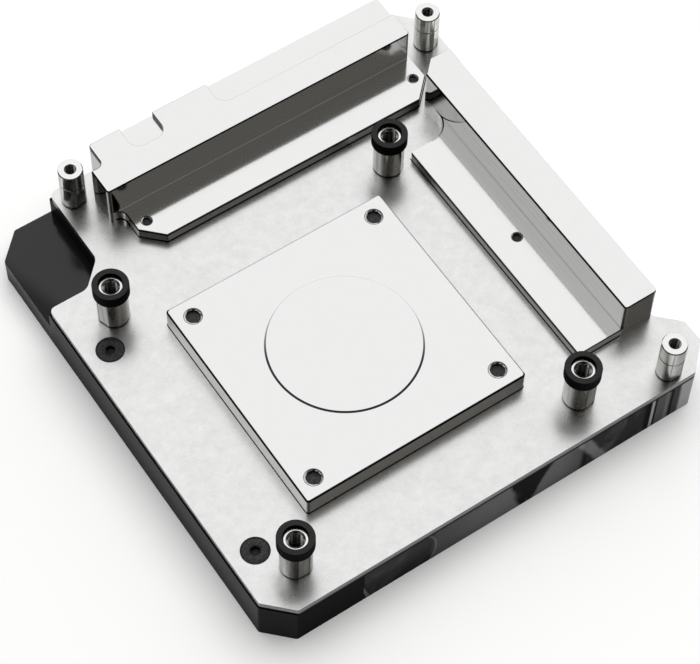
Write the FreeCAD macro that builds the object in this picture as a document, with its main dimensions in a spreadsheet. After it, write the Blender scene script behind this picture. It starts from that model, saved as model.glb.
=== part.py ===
import FreeCAD, Part
import Sketcher
import math
import os

# Full-cover liquid cooling cold plate, lying on its in-use upper side, contact side up.
# Frame: origin on the processor axis in the resting plane, +Z out of the contact face,
# X along the right-front edge, Y along the left-front edge. Millimetres throughout.

doc = FreeCAD.newDocument("cold_plate")
sheet = doc.addObject("Spreadsheet::Sheet", "Sizes")

SIZES = [
    # Layers
    ("manifold_height", 12.0, "clear top and side cover, resting plane to plate"),
    ("plate_thickness", 2.1, "thin plate of the metal base"),
    ("part_gap", 0.15, "gap between the clear top and the side cover"),
    ("seat_clearance", 0.1, "side gap round a piece let into another"),
    ("thread_clearance", 0.05, "radial gap between a screw and its threaded hole"),
    ("edge_break", 0.2, "bevel on polished edges"),
    # Plate outline
    ("plate_left", 49.1, "processor axis to the left-front edge"),
    ("plate_front", 46.9, "processor axis to the right-front edge"),
    ("plate_right", 69.3, "processor axis to the ears' outer edge"),
    ("plate_back", 74.2, "processor axis to the back edge"),
    ("corner_cut", 6.1, "cut corners of the plate"),
    ("corner_round", 1.0, "rounding where plate edges meet"),
    ("front_ear_end", 35.0, "processor axis back to the front ear's end"),
    ("back_ear_start", 53.2, "processor axis to the back ear's start"),
    ("notch_x", 33.1, "processor axis to the notch's side"),
    ("notch_y", 46.65, "processor axis to the notch's front"),
    ("notch_cut", 6.0, "slanted inner corner of the notch"),
    ("notch_round", 3.0, "rounding in the notch"),
    ("notch_tip_round", 1.4, "rounding at the notch's outer corner"),
    ("back_left_round", 2.0, "rounding of the plate's back left corner"),
    # Processor pedestal
    ("pedestal_side", 57.9, "square pedestal"),
    ("pedestal_height", 5.3, "pedestal above the plate"),
    ("pedestal_round", 0.8, "pedestal corner rounding"),
    ("disc_diameter", 35.1, "raised contact disc"),
    ("disc_height", 0.15, "contact disc above the pedestal"),
    ("pedestal_screw_pitch", 48.8, "square of pedestal screws"),
    # Left bar, along the back edge
    ("left_bar_height", 12.0, "above the plate"),
    ("left_bar_front", 59.25, "processor axis to its front face"),
    ("left_bar_back", 73.2, "processor axis to its back face"),
    ("left_bar_left", 25.15, "processor axis to its left end"),
    ("left_bar_right", 58.2, "processor axis to its right end"),
    ("bar_round", 0.9, "rounding of bar corners"),
    ("end_step", 3.1, "set-back of the left end's rear half"),
    ("end_step_y", 66.4, "processor axis to the set-back"),
    ("end_step_round", 1.5, "inner rounding of the set-back"),
    ("recess_depth", 1.4, "recesses in the bar's top"),
    ("recess_front", 66.2, "processor axis to the recesses' front"),
    ("recess_round", 2.8, "rounding of the recesses"),
    ("short_recess_left", 13.75, "processor axis to the short recess"),
    ("short_recess_length", 8.95, "length of the short recess"),
    ("long_recess_left", 9.75, "processor axis to the long recess"),
    # Left shelf
    ("left_shelf_height", 2.9, "above the plate"),
    ("left_shelf_front", 47.45, "processor axis to its front edge"),
    ("left_shelf_left", 21.9, "processor axis to its left end"),
    ("left_shelf_cut", 4.9, "cut corners of the left shelf"),
    ("left_shelf_blend", 2.0, "inner rounding between shelf and bar"),
    # Right bar and shelf
    ("right_bar_height", 11.2, "above the plate"),
    ("right_bar_inner", 54.9, "processor axis to its inner face"),
    ("right_bar_outer", 63.85, "processor axis to its outer face"),
    ("right_bar_front", 29.95, "processor axis to its front end"),
    ("right_bar_back", 51.1, "processor axis to its back end"),
    ("right_bar_cut", 3.5, "cut corner at its back end"),
    ("waist_margin", 0.25, "plate beyond the right bar's outer face"),
    ("right_shelf_height", 2.5, "above the plate"),
    ("right_shelf_inner", 42.85, "processor axis to its inner edge"),
    ("right_shelf_back", 36.15, "processor axis to its back edge"),
    ("right_shelf_blend", 6.0, "inner rounding between shelf and bar"),
    ("shelf_round", 0.6, "rounding of shelf corners"),
    # Processor standoffs
    ("standoff_pitch", 75.0, "square of processor standoffs"),
    ("standoff_radius", 3.65, "body"),
    ("standoff_flat", 3.35, "axis to each wrench flat"),
    ("standoff_shoulder", 9.55, "plate to shoulder"),
    ("standoff_height", 11.7, "plate to metal end"),
    ("standoff_neck", 2.65, "neck inside the collar"),
    ("standoff_bore", 1.65, "threaded hole"),
    ("standoff_bore_depth", 8.0, "length of the threaded hole"),
    ("collar_radius", 4.22, "collar outside"),
    ("collar_rise", 1.05, "collar above the metal end"),
    ("collar_clearance", 0.15, "radial gap between collar and neck"),
    ("front_turn", -92.6, "direction of one wrench flat, degrees from +X"),
    ("left_turn", -160.5, "direction of one wrench flat, degrees from +X"),
    ("right_turn", -80.1, "direction of one wrench flat, degrees from +X"),
    ("back_turn", -50.0, "direction of one wrench flat, degrees from +X"),
    # Board standoffs
    ("board_radius", 2.95, "body"),
    ("board_height", 11.75, "plate to end"),
    ("board_bore", 1.25, "threaded hole"),
    ("board_bore_depth", 6.0, "length of the threaded hole"),
    ("board_flat", 2.65, "axis to each wrench flat"),
    ("board_flat_height", 5.6, "length of the wrench flats"),
    ("board_left_x", 28.85, "left board standoff"),
    ("board_left_y", 69.75, "left board standoff"),
    ("board_back_x", 65.5, "back board standoff"),
    ("board_back_y", 62.45, "back board standoff"),
    ("board_right_x", 58.3, "right board standoff"),
    ("board_right_y", 43.3, "right board standoff, in front of the axis"),
    ("board_left_turn", -75.0, "direction of one wrench flat, degrees from +X"),
    ("board_back_turn", -62.0, "direction of one wrench flat, degrees from +X"),
    ("board_right_turn", -100.0, "direction of one wrench flat, degrees from +X"),
    # Countersunk cover screws
    ("cover_screw_x", 43.0, "processor axis to the cover screws"),
    ("cover_screw_y", 30.0, "processor axis to each cover screw"),
    ("cover_head_radius", 3.3, "countersunk head"),
    ("cover_shank_radius", 1.5, "shank"),
    ("cover_screw_length", 8.0, "countersunk screw, overall"),
    ("cover_hex", 2.0, "hexagon socket across flats"),
    ("cover_hex_depth", 1.2, "hexagon socket"),
    # Socket screws from the hidden side
    ("pedestal_shank_radius", 2.0, "pedestal screw"),
    ("pedestal_tip_below", 0.9, "screw tip below the pedestal face"),
    ("shelf_shank_radius", 1.25, "shelf screw"),
    ("shelf_tip_below", 0.7, "screw tip below the shelf face"),
    ("shelf_screw_left_x", 18.9, "left shelf, left screw"),
    ("shelf_screw_right_x", 55.4, "left shelf, right screw"),
    ("shelf_screw_y", 53.4, "left shelf screws"),
    ("side_screw_x", 49.85, "right shelf screw"),
    ("side_screw_y", 3.2, "right shelf screw"),
    # Side cover
    ("cover_overhang", 0.3, "cover proud of the plate's left edge"),
    ("cover_tab_height", 6.8, "flat tab in the notch"),
    ("cover_front_width", 22.8, "cover along the right-front edge"),
    ("cover_inner_x", 31.5, "processor axis to the cover's inner edge"),
    ("cover_inner_y", 38.0, "where the inner edge slants"),
    ("cover_tab_cut", 6.4, "cut corner of the tab"),
    # Wetted chamber
    ("slot_count", 21, "slots between the fins"),
    ("slot_width", 0.6, "slots between the fins"),
    ("slot_pitch", 1.2, "slot to slot"),
    ("slot_depth", 3.6, "slots up into the pedestal"),
    ("slot_run", 31.0, "slot length"),
    ("channel_depth", 6.5, "milled channels in the clear top"),
    ("channel_width", 5.0, "milled channels"),
    ("inlet_width", 7.0, "inlet channel"),
    ("collector_x", 14.5, "processor axis to the collecting channels"),
    ("collector_front", 16.5, "processor axis to the joining channel"),
    ("collector_back", 11.0, "end of the left collecting channel"),
    ("bar_channel_y", 64.5, "channel under the left bar"),
    ("inlet_x", 0.0, "inlet port"),
    ("inlet_y", 39.0, "inlet port"),
    ("inlet_end", 7.5, "end of the inlet channel"),
    ("outlet_x", 44.0, "outlet port"),
    ("outlet_y", 54.0, "outlet port"),
    ("port_radius", 5.75, "port thread, inner"),
    ("port_overlap", 1.0, "port reaching past its channel's floor"),
    ("jet_width", 22.0, "slotted jet plate, along the fins"),
    ("jet_thickness", 0.5, "slotted jet plate"),
    ("jet_slot_width", 1.4, "slot of the jet plate"),
    ("jet_slot_length", 20.0, "slot of the jet plate"),
    # Seal
    ("seal_width", 1.6, "gasket section, across"),
    ("seal_height", 1.5, "gasket section, upright"),
    ("seal_offset", 4.7, "collecting channel's middle to the seal's middle"),
    ("seal_round", 2.5, "corner rounding of the seal"),
]
for row, (alias, number, note) in enumerate(SIZES, start=1):
    sheet.set(f"A{row}", alias)
    sheet.set(f"B{row}", str(number))
    sheet.set(f"C{row}", note)
    sheet.setAlias(f"B{row}", alias)
doc.recompute()


class Size:
    """A length that knows both its number and its spreadsheet expression."""

    def __init__(self, number, text):
        self.number = float(number)
        self.text = text

    @staticmethod
    def of(value):
        return value if isinstance(value, Size) else Size(value, repr(float(value)))

    def __add__(self, other):
        other = Size.of(other)
        return Size(self.number + other.number, f"({self.text} + {other.text})")

    def __sub__(self, other):
        other = Size.of(other)
        return Size(self.number - other.number, f"({self.text} - {other.text})")

    def __mul__(self, other):
        other = Size.of(other)
        return Size(self.number * other.number, f"({self.text} * {other.text})")

    def __truediv__(self, other):
        other = Size.of(other)
        return Size(self.number / other.number, f"({self.text} / {other.text})")

    def __neg__(self):
        return Size(-self.number, f"(-1 * {self.text})")


class Cells:
    """Reads each named size of the spreadsheet as a Size."""

    def __getattr__(self, alias):
        return Size(getattr(sheet, alias), f"Sizes.{alias}")


size = Cells()
zero = Size(0.0, "0.0")


def bind(feature, prop, value):
    feature.setExpression(prop, Size.of(value).text)


def new_body(label):
    body = doc.addObject("PartDesign::Body", label)
    body.Label = label
    return body


def origin_plane(body, role):
    return next(item for item in body.Origin.OriginFeatures if item.Role == role)


def new_sketch(body, name, level=zero, role="XY_Plane"):
    sketch = body.newObject("Sketcher::SketchObject", name)
    sketch.AttachmentSupport = (origin_plane(body, role), [""])
    sketch.MapMode = "FlatFace"
    if level is not zero:
        bind(sketch, "AttachmentOffset.Base.z", level)
    return sketch


def pin_point(sketch, geometry, point, x, y):
    """Fixes a sketch point at two signed distances from the sketch origin."""
    for kind, value in (("DistanceX", Size.of(x)), ("DistanceY", Size.of(y))):
        rule = Sketcher.Constraint(kind, -1, 1, geometry, point, value.number)
        index = sketch.addConstraint(rule)
        sketch.setExpression(f"Constraints[{index}]", value.text)


def add_circle(sketch, x, y, radius):
    radius = Size.of(radius)
    centre = FreeCAD.Vector(Size.of(x).number, Size.of(y).number, 0)
    circle = sketch.addGeometry(Part.Circle(centre, FreeCAD.Vector(0, 0, 1), radius.number), False)
    pin_point(sketch, circle, 3, x, y)
    index = sketch.addConstraint(Sketcher.Constraint("Radius", circle, radius.number))
    sketch.setExpression(f"Constraints[{index}]", radius.text)


def add_polygon(sketch, corners):
    """Closed outline through the corners, every corner pinned by its two sizes."""
    points = [FreeCAD.Vector(Size.of(x).number, Size.of(y).number, 0) for x, y in corners]
    count = len(points)
    first = None
    for i in range(count):
        line = sketch.addGeometry(Part.LineSegment(points[i], points[(i + 1) % count]), False)
        first = line if first is None else first
    for i in range(count):
        following = first + (i + 1) % count
        sketch.addConstraint(Sketcher.Constraint("Coincident", first + i, 2, following, 1))
    for i, (x, y) in enumerate(corners):
        pin_point(sketch, first + i, 1, x, y)


def rectangle(left, right, front, back):
    return [(left, front), (right, front), (right, back), (left, back)]


def add_stadium(sketch, x1, y1, x2, y2, width):
    """Round-ended slot outline between two centres on one line along X or Y."""
    x1, y1, x2, y2, width = (Size.of(value) for value in (x1, y1, x2, y2, width))
    half = width / 2
    start = FreeCAD.Vector(x1.number, y1.number, 0)
    end = FreeCAD.Vector(x2.number, y2.number, 0)
    along = (end - start).normalize()
    turn = math.atan2(along.y, along.x)
    quarter = math.pi / 2
    normal = FreeCAD.Vector(0, 0, 1)
    far = sketch.addGeometry(
        Part.ArcOfCircle(Part.Circle(end, normal, half.number), turn - quarter, turn + quarter), False)
    near = sketch.addGeometry(
        Part.ArcOfCircle(Part.Circle(start, normal, half.number), turn + quarter, turn + 3 * quarter), False)
    side = FreeCAD.Vector(-along.y, along.x, 0) * half.number
    left = sketch.addGeometry(Part.LineSegment(end + side, start + side), False)
    right = sketch.addGeometry(Part.LineSegment(start - side, end - side), False)
    for first, second in ((far, left), (left, near), (near, right), (right, far)):
        sketch.addConstraint(Sketcher.Constraint("Tangent", first, 2, second, 1))
    pin_point(sketch, far, 3, x2, y2)
    pin_point(sketch, near, 3, x1, y1)
    index = sketch.addConstraint(Sketcher.Constraint("Radius", far, half.number))
    sketch.setExpression(f"Constraints[{index}]", half.text)


def add_rounded_loop(sketch, corners, radius):
    """Closed loop of level and upright lines, every corner rounded with one radius."""
    points = [FreeCAD.Vector(x.number, y.number, 0) for x, y in corners]
    count = len(points)
    normal = FreeCAD.Vector(0, 0, 1)
    headings = [(points[(i + 1) % count] - points[i]).normalize() for i in range(count)]
    lines = []
    for i, heading in enumerate(headings):
        start = points[i] + heading * radius.number
        end = points[(i + 1) % count] - heading * radius.number
        lines.append(sketch.addGeometry(Part.LineSegment(start, end), False))
        upright = abs(heading.y) > 0.5
        sketch.addConstraint(Sketcher.Constraint("Vertical" if upright else "Horizontal", lines[i]))
        kind, value = ("DistanceX", corners[i][0]) if upright else ("DistanceY", corners[i][1])
        index = sketch.addConstraint(Sketcher.Constraint(kind, -1, 1, lines[i], 1, value.number))
        sketch.setExpression(f"Constraints[{index}]", value.text)
    first_arc = None
    for i in range(count):
        arrive, leave = headings[i - 1], headings[i]
        centre = points[i] + (leave - arrive) * radius.number
        left_turn = arrive.cross(leave).z > 0
        outward = -leave if left_turn else arrive
        begin = math.atan2(outward.y, outward.x)
        circle = Part.Circle(centre, normal, radius.number)
        arc = sketch.addGeometry(Part.ArcOfCircle(circle, begin, begin + math.pi / 2), False)
        entry, leaving = (1, 2) if left_turn else (2, 1)
        sketch.addConstraint(Sketcher.Constraint("Tangent", lines[i - 1], 2, arc, entry))
        sketch.addConstraint(Sketcher.Constraint("Tangent", arc, leaving, lines[i], 1))
        if first_arc is None:
            first_arc = arc
            index = sketch.addConstraint(Sketcher.Constraint("Radius", arc, radius.number))
            sketch.setExpression(f"Constraints[{index}]", radius.text)
        else:
            sketch.addConstraint(Sketcher.Constraint("Equal", first_arc, arc))


def pad(body, sketch, length, name="Pad"):
    feature = body.newObject("PartDesign::Pad", name)
    feature.Profile = sketch
    bind(feature, "Length", length)
    sketch.Visibility = False
    doc.recompute()
    return feature


def pocket(body, sketch, depth, name="Pocket", upward=False):
    """Cuts from the sketch plane, downward unless told otherwise."""
    feature = body.newObject("PartDesign::Pocket", name)
    feature.Profile = sketch
    bind(feature, "Length", depth)
    feature.Reversed = upward
    sketch.Visibility = False
    doc.recompute()
    return feature


def revolve(body, sketch, name="Turned"):
    feature = body.newObject("PartDesign::Revolution", name)
    feature.Profile = sketch
    feature.ReferenceAxis = (sketch, ["V_Axis"])
    feature.Angle = 360
    sketch.Visibility = False
    doc.recompute()
    return feature


def sweep(body, kind, path, section, name):
    feature = body.newObject(kind, name)
    feature.Profile = section
    feature.Spine = path
    path.Visibility = False
    section.Visibility = False
    doc.recompute()
    return feature


def upright_edges(shape, spots, low, high):
    """Names of the vertical edges that stand on the given spots within a height span."""
    names = []
    for index, edge in enumerate(shape.Edges, start=1):
        if len(edge.Vertexes) != 2:
            continue
        start, end = (vertex.Point for vertex in edge.Vertexes)
        if abs(start.x - end.x) > 1e-5 or abs(start.y - end.y) > 1e-5:
            continue
        middle = (start.z + end.z) / 2
        if not low.number < middle < high.number:
            continue
        for x, y in spots:
            if abs(start.x - Size.of(x).number) < 1e-4 and abs(start.y - Size.of(y).number) < 1e-4:
                names.append(f"Edge{index}")
    return names


def round_uprights(body, spots, radius, low, high, name="Rounding"):
    names = upright_edges(body.Tip.Shape, spots, low, high)
    base = body.Tip
    feature = body.newObject("PartDesign::Fillet", name)
    feature.Base = (base, names)
    bind(feature, "Radius", radius)
    doc.recompute()
    return feature


def face_at(shape, level, x, y):
    """Name of the level upward face that covers the given spot."""
    spot = FreeCAD.Vector(Size.of(x).number, Size.of(y).number, level.number)
    for index, face in enumerate(shape.Faces, start=1):
        box = face.BoundBox
        if box.ZLength < 1e-6 and abs(box.ZMin - level.number) < 1e-5 and face.isInside(spot, 1e-4, True):
            return f"Face{index}"
    raise ValueError(f"no level face at {spot}")


def bevel_face(body, level, x, y, width, name="Bevel"):
    base = body.Tip
    feature = body.newObject("PartDesign::Chamfer", name)
    feature.Base = (base, [face_at(base.Shape, level, x, y)])
    bind(feature, "Size", width)
    doc.recompute()
    return feature


def hexagon(across_flats):
    """Corners of a hexagon centred on the sketch origin."""
    half = across_flats / 2
    corner = across_flats / math.sqrt(3)
    return [(corner, zero), (corner / 2, half), (-corner / 2, half),
            (-corner, zero), (-corner / 2, -half), (corner / 2, -half)]


# Levels
plate_bottom = size.manifold_height
plate_top = plate_bottom + size.plate_thickness
pedestal_top = plate_top + size.pedestal_height
left_bar_top = plate_top + size.left_bar_height
left_shelf_top = plate_top + size.left_shelf_height
right_bar_top = plate_top + size.right_bar_height
right_shelf_top = plate_top + size.right_shelf_height

# Places shared between pieces
pedestal_screws = [
    (size.pedestal_screw_pitch / 2 * sx, size.pedestal_screw_pitch / 2 * sy)
    for sx in (-1, 1) for sy in (-1, 1)
]
shelf_screws = [
    (-size.shelf_screw_left_x, size.shelf_screw_y, left_shelf_top),
    (size.shelf_screw_right_x, size.shelf_screw_y, left_shelf_top),
    (size.side_screw_x, size.side_screw_y, right_shelf_top),
]
cover_screws = [(-size.cover_screw_x, size.cover_screw_y * side) for side in (-1, 1)]
half_pitch = size.standoff_pitch / 2
standoffs = {
    "front": (-half_pitch, -half_pitch, size.front_turn),
    "left": (-half_pitch, half_pitch, size.left_turn),
    "right": (half_pitch, -half_pitch, size.right_turn),
    "back": (half_pitch, half_pitch, size.back_turn),
}
board_standoffs = {
    "left": (-size.board_left_x, size.board_left_y, size.board_left_turn),
    "back": (size.board_back_x, size.board_back_y, size.board_back_turn),
    "right": (size.board_right_x, -size.board_right_y, size.board_right_turn),
}
waist = size.right_bar_outer + size.waist_margin
ear_run = size.plate_right - waist


def plate_outline():
    """Plate corners, counter-clockwise from the left-front edge's lower end."""
    return {
        "front_low": (-size.plate_left, size.corner_cut - size.plate_front),
        "front_cut": (size.corner_cut - size.plate_left, -size.plate_front),
        "right_cut": (size.plate_right - size.corner_cut, -size.plate_front),
        "right_low": (size.plate_right, size.corner_cut - size.plate_front),
        "front_ear": (size.plate_right, -size.front_ear_end),
        "front_waist": (waist, ear_run - size.front_ear_end),
        "back_waist": (waist, size.back_ear_start - ear_run),
        "back_ear": (size.plate_right, size.back_ear_start),
        "back_low": (size.plate_right, size.plate_back - size.corner_cut),
        "back_cut": (size.plate_right - size.corner_cut, size.plate_back),
        "back_left": (-size.notch_x, size.plate_back),
        "notch_side": (-size.notch_x, size.notch_y + size.notch_cut),
        "notch_front": (-(size.notch_x + size.notch_cut), size.notch_y),
        "notch_tip": (-size.plate_left, size.notch_y),
    }


# Metal base: plate, pedestal, bars and shelves machined from one block
base = new_body("cold_base")
outline = plate_outline()
plate_sketch = new_sketch(base, "PlateOutline", plate_bottom)
add_polygon(plate_sketch, list(outline.values()))
pad(base, plate_sketch, size.plate_thickness, "Plate")
notch_corners = ("notch_side", "notch_front")
plain_corners = [outline[key] for key in outline if key not in notch_corners + ("notch_tip", "back_left")]
round_uprights(base, plain_corners, size.corner_round, plate_bottom, plate_top, "PlateCorners")
round_uprights(base, [outline[key] for key in notch_corners], size.notch_round,
               plate_bottom, plate_top, "NotchCorners")
round_uprights(base, [outline["notch_tip"]], size.notch_tip_round, plate_bottom, plate_top, "NotchTip")
round_uprights(base, [outline["back_left"]], size.back_left_round, plate_bottom, plate_top, "BackLeft")

half_side = size.pedestal_side / 2
pedestal_corners = rectangle(-half_side, half_side, -half_side, half_side)
pedestal_sketch = new_sketch(base, "PedestalOutline", plate_top)
add_polygon(pedestal_sketch, pedestal_corners)
pad(base, pedestal_sketch, size.pedestal_height, "Pedestal")
round_uprights(base, pedestal_corners, size.pedestal_round, plate_top, pedestal_top, "PedestalCorners")
bevel_face(base, pedestal_top, zero, zero, size.edge_break, "PedestalBevel")

# Left bar with its stepped end
step_x = size.end_step - size.left_bar_left
left_bar_corners = {
    "front_left": (-size.left_bar_left, size.left_bar_front),
    "front_right": (size.left_bar_right, size.left_bar_front),
    "back_right": (size.left_bar_right, size.left_bar_back),
    "back_left": (step_x, size.left_bar_back),
    "step": (step_x, size.end_step_y),
    "step_tip": (-size.left_bar_left, size.end_step_y),
}
left_bar_sketch = new_sketch(base, "LeftBarOutline", plate_top)
add_polygon(left_bar_sketch, list(left_bar_corners.values()))
pad(base, left_bar_sketch, size.left_bar_height, "LeftBar")
outer_corners = [left_bar_corners[key] for key in ("front_left", "front_right", "back_right", "back_left")]
round_uprights(base, outer_corners, size.bar_round, plate_top, left_bar_top, "LeftBarCorners")
round_uprights(base, [left_bar_corners["step"]], size.end_step_round, plate_top, left_bar_top, "LeftBarStep")
bevel_face(base, left_bar_top, zero, size.left_bar_front + size.bar_round, size.edge_break, "LeftBarBevel")

# Right bar
right_bar_corners = {
    "front_inner": (size.right_bar_inner, -size.right_bar_front),
    "front_outer": (size.right_bar_outer, -size.right_bar_front),
    "back_outer": (size.right_bar_outer, size.right_bar_back),
    "back_cut": (size.right_bar_inner + size.right_bar_cut, size.right_bar_back),
    "inner_cut": (size.right_bar_inner, size.right_bar_back - size.right_bar_cut),
}
right_bar_sketch = new_sketch(base, "RightBarOutline", plate_top)
add_polygon(right_bar_sketch, list(right_bar_corners.values()))
pad(base, right_bar_sketch, size.right_bar_height, "RightBar")
round_uprights(base, [right_bar_corners[key] for key in ("front_inner", "front_outer", "back_outer")],
               size.bar_round, plate_top, right_bar_top, "RightBarCorners")
bevel_face(base, right_bar_top, size.right_bar_inner + size.right_bar_cut, zero,
           size.edge_break, "RightBarBevel")

# Left shelf, in front of the left bar
shelf_left = -size.left_shelf_left
shelf_right = size.left_bar_right
left_shelf_corners = [
    (shelf_left, size.left_shelf_front + size.left_shelf_cut),
    (shelf_left + size.left_shelf_cut, size.left_shelf_front),
    (shelf_right - size.left_shelf_cut, size.left_shelf_front),
    (shelf_right, size.left_shelf_front + size.left_shelf_cut),
    (shelf_right, size.left_bar_front + size.bar_round * 2),
    (shelf_left, size.left_bar_front + size.bar_round * 2),
]
left_shelf_sketch = new_sketch(base, "LeftShelfOutline", plate_top)
add_polygon(left_shelf_sketch, left_shelf_corners)
pad(base, left_shelf_sketch, size.left_shelf_height, "LeftShelf")
round_uprights(base, left_shelf_corners[:4], size.shelf_round, plate_top, left_shelf_top, "LeftShelfCorners")
round_uprights(base, [(shelf_left, size.left_bar_front)], size.left_shelf_blend,
               plate_top, left_shelf_top, "LeftShelfBlend")

# Right shelf, beside the right bar
right_shelf_corners = [
    (size.right_shelf_inner, -size.right_bar_front),
    (size.right_bar_inner + size.bar_round * 2, -size.right_bar_front),
    (size.right_bar_inner + size.bar_round * 2, size.right_shelf_back),
    (size.right_shelf_inner, size.right_shelf_back),
]
right_shelf_sketch = new_sketch(base, "RightShelfOutline", plate_top)
add_polygon(right_shelf_sketch, right_shelf_corners)
pad(base, right_shelf_sketch, size.right_shelf_height, "RightShelf")
round_uprights(base, [right_shelf_corners[0], right_shelf_corners[3]], size.shelf_round,
               plate_top, right_shelf_top, "RightShelfCorners")
round_uprights(base, [(size.right_bar_inner, size.right_shelf_back)], size.right_shelf_blend,
               plate_top, right_shelf_top, "RightShelfBlend")

# Recesses milled into the left bar's top
past_bar = size.left_bar_back + size.bar_round
recess_spans = {
    "ShortRecess": (-size.short_recess_left, size.short_recess_length - size.short_recess_left),
    "LongRecess": (size.long_recess_left, size.left_bar_right + size.bar_round),
}
for name, (left, right) in recess_spans.items():
    recess_sketch = new_sketch(base, name + "Outline", left_bar_top)
    add_polygon(recess_sketch, rectangle(left, right, size.recess_front, past_bar))
    pocket(base, recess_sketch, size.recess_depth, name)
    inner_corners = [(left, size.recess_front), (right, size.recess_front)]
    round_uprights(base, inner_corners, size.recess_round,
                   left_bar_top - size.recess_depth, left_bar_top, name + "Corners")

# Raised contact disc
disc_sketch = new_sketch(base, "DiscOutline", pedestal_top)
add_circle(disc_sketch, zero, zero, size.disc_diameter / 2)
pad(base, disc_sketch, size.disc_height, "ContactDisc")


def drill(body, spots, radius, top, depth, name):
    """Round holes cut downward from one level."""
    sketch = new_sketch(body, name + "Circles", top)
    for x, y in spots:
        add_circle(sketch, x, y, radius)
    pocket(body, sketch, depth, name)


def bevel_rims(body, spots, radius, level, width, name):
    """Bevels the rims of round holes that open at one level."""
    base = body.Tip
    names = []
    for index, edge in enumerate(base.Shape.Edges, start=1):
        rim = edge.Curve
        if not isinstance(rim, Part.Circle) or abs(rim.Radius - radius.number) > 1e-5:
            continue
        for x, y in spots:
            if rim.Center.distanceToPoint(FreeCAD.Vector(x.number, y.number, level.number)) < 1e-4:
                names.append(f"Edge{index}")
    feature = body.newObject("PartDesign::Chamfer", name)
    feature.Base = (base, names)
    bind(feature, "Size", width)
    doc.recompute()


# Threaded holes through pedestal and shelves
pedestal_hole = size.pedestal_shank_radius + size.thread_clearance
drill(base, pedestal_screws, pedestal_hole, pedestal_top,
      size.pedestal_height + size.plate_thickness, "PedestalHoles")
shelf_hole = size.shelf_shank_radius + size.thread_clearance
for index, (x, y, level) in enumerate(shelf_screws):
    drill(base, [(x, y)], shelf_hole, level, level - plate_bottom, f"ShelfHole{index}")

# Countersunk holes for the cover screws
head_depth = size.cover_head_radius - size.cover_shank_radius
cover_hole = size.cover_shank_radius + size.thread_clearance
drill(base, cover_screws, cover_hole, plate_top, size.plate_thickness, "CoverScrewHoles")
bevel_rims(base, cover_screws, cover_hole, plate_top, head_depth, "CoverScrewSeats")

# Cooling fins: a row of slots cut up into the pedestal from below
slot_span = size.slot_pitch * (size.slot_count - 1)
first_slot = slot_span / 2
slot_sketch = new_sketch(base, "FirstSlot", plate_bottom)
add_polygon(slot_sketch, rectangle(-size.slot_run / 2, size.slot_run / 2,
                                   first_slot - size.slot_width / 2, first_slot + size.slot_width / 2))
fin_slot = pocket(base, slot_sketch, size.slot_depth, "FinSlot", upward=True)
fin_slots = base.newObject("PartDesign::LinearPattern", "FinSlots")
fin_slots.Originals = [fin_slot]
fin_slots.Direction = (origin_plane(base, "XZ_Plane"), [""])
bind(fin_slots, "Length", slot_span)
bind(fin_slots, "Occurrences", size.slot_count)
base.Tip = fin_slots
doc.recompute()

# Side cover: full-height strip under the plate's left edge with a lower tab in the notch
cover = new_body("side_cover")
cover_left = -(size.plate_left + size.cover_overhang)
cover_front_right = -(size.plate_left - size.cover_front_width)
cover_slant = cover_front_right + size.cover_inner_x
cover_corners = {
    "front_low": (cover_left, size.corner_cut - size.plate_front),
    "front_cut": (cover_left + size.corner_cut, -size.plate_front),
    "front_right": (cover_front_right, -size.plate_front),
    "slant_start": (cover_front_right, -size.cover_inner_y),
    "slant_end": (-size.cover_inner_x, cover_slant - size.cover_inner_y),
    "back_right": (-size.cover_inner_x, size.plate_back),
    "back_cut": (cover_left + size.cover_tab_cut, size.plate_back),
    "left_cut": (cover_left, size.plate_back - size.cover_tab_cut),
}
cover_sketch = new_sketch(cover, "CoverOutline")
add_polygon(cover_sketch, list(cover_corners.values()))
pad(cover, cover_sketch, size.manifold_height, "Cover")
round_uprights(cover, [cover_corners[key] for key in ("front_low", "front_cut", "back_cut", "left_cut")],
               size.corner_round, zero, plate_bottom, "CoverCorners")
tab_sketch = new_sketch(cover, "TabOutline", plate_bottom)
past_cover = cover_left - size.corner_round
add_polygon(tab_sketch, [
    (past_cover, size.notch_y),
    (-(size.notch_x + size.notch_cut), size.notch_y),
    (-size.notch_x, size.notch_y + size.notch_cut),
    (-size.notch_x, size.plate_back + size.corner_round),
    (past_cover, size.plate_back + size.corner_round),
])
pocket(cover, tab_sketch, size.manifold_height - size.cover_tab_height, "Tab")
round_uprights(cover, [(-(size.notch_x + size.notch_cut), size.notch_y),
                       (-size.notch_x, size.notch_y + size.notch_cut)],
               size.notch_round, size.cover_tab_height, plate_bottom, "TabCorners")
drill(cover, cover_screws, cover_hole, plate_bottom, size.cover_screw_length, "CoverScrewHoles")

# Clear top: manifold plate with milled channels, ports and screw holes
top = new_body("clear_top")
inner_front = cover_front_right + size.part_gap
inner_back = size.part_gap - size.cover_inner_x
top_corners = {
    "front_left": (inner_front, -size.plate_front),
    "right_cut": outline["right_cut"],
    "right_low": outline["right_low"],
    "front_ear": outline["front_ear"],
    "front_waist": outline["front_waist"],
    "back_waist": outline["back_waist"],
    "back_ear": outline["back_ear"],
    "back_low": outline["back_low"],
    "back_cut": outline["back_cut"],
    "back_left": (inner_back, size.plate_back),
    "slant_end": (inner_back, cover_slant - size.cover_inner_y),
    "slant_start": (inner_front, -size.cover_inner_y),
}
top_sketch = new_sketch(top, "TopOutline")
add_polygon(top_sketch, list(top_corners.values()))
pad(top, top_sketch, size.manifold_height, "Top")
round_uprights(top, [top_corners[key] for key in
                     ("right_cut", "right_low", "front_ear", "front_waist", "back_waist",
                      "back_ear", "back_low", "back_cut")],
               size.corner_round, zero, plate_bottom, "TopCorners")

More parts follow.
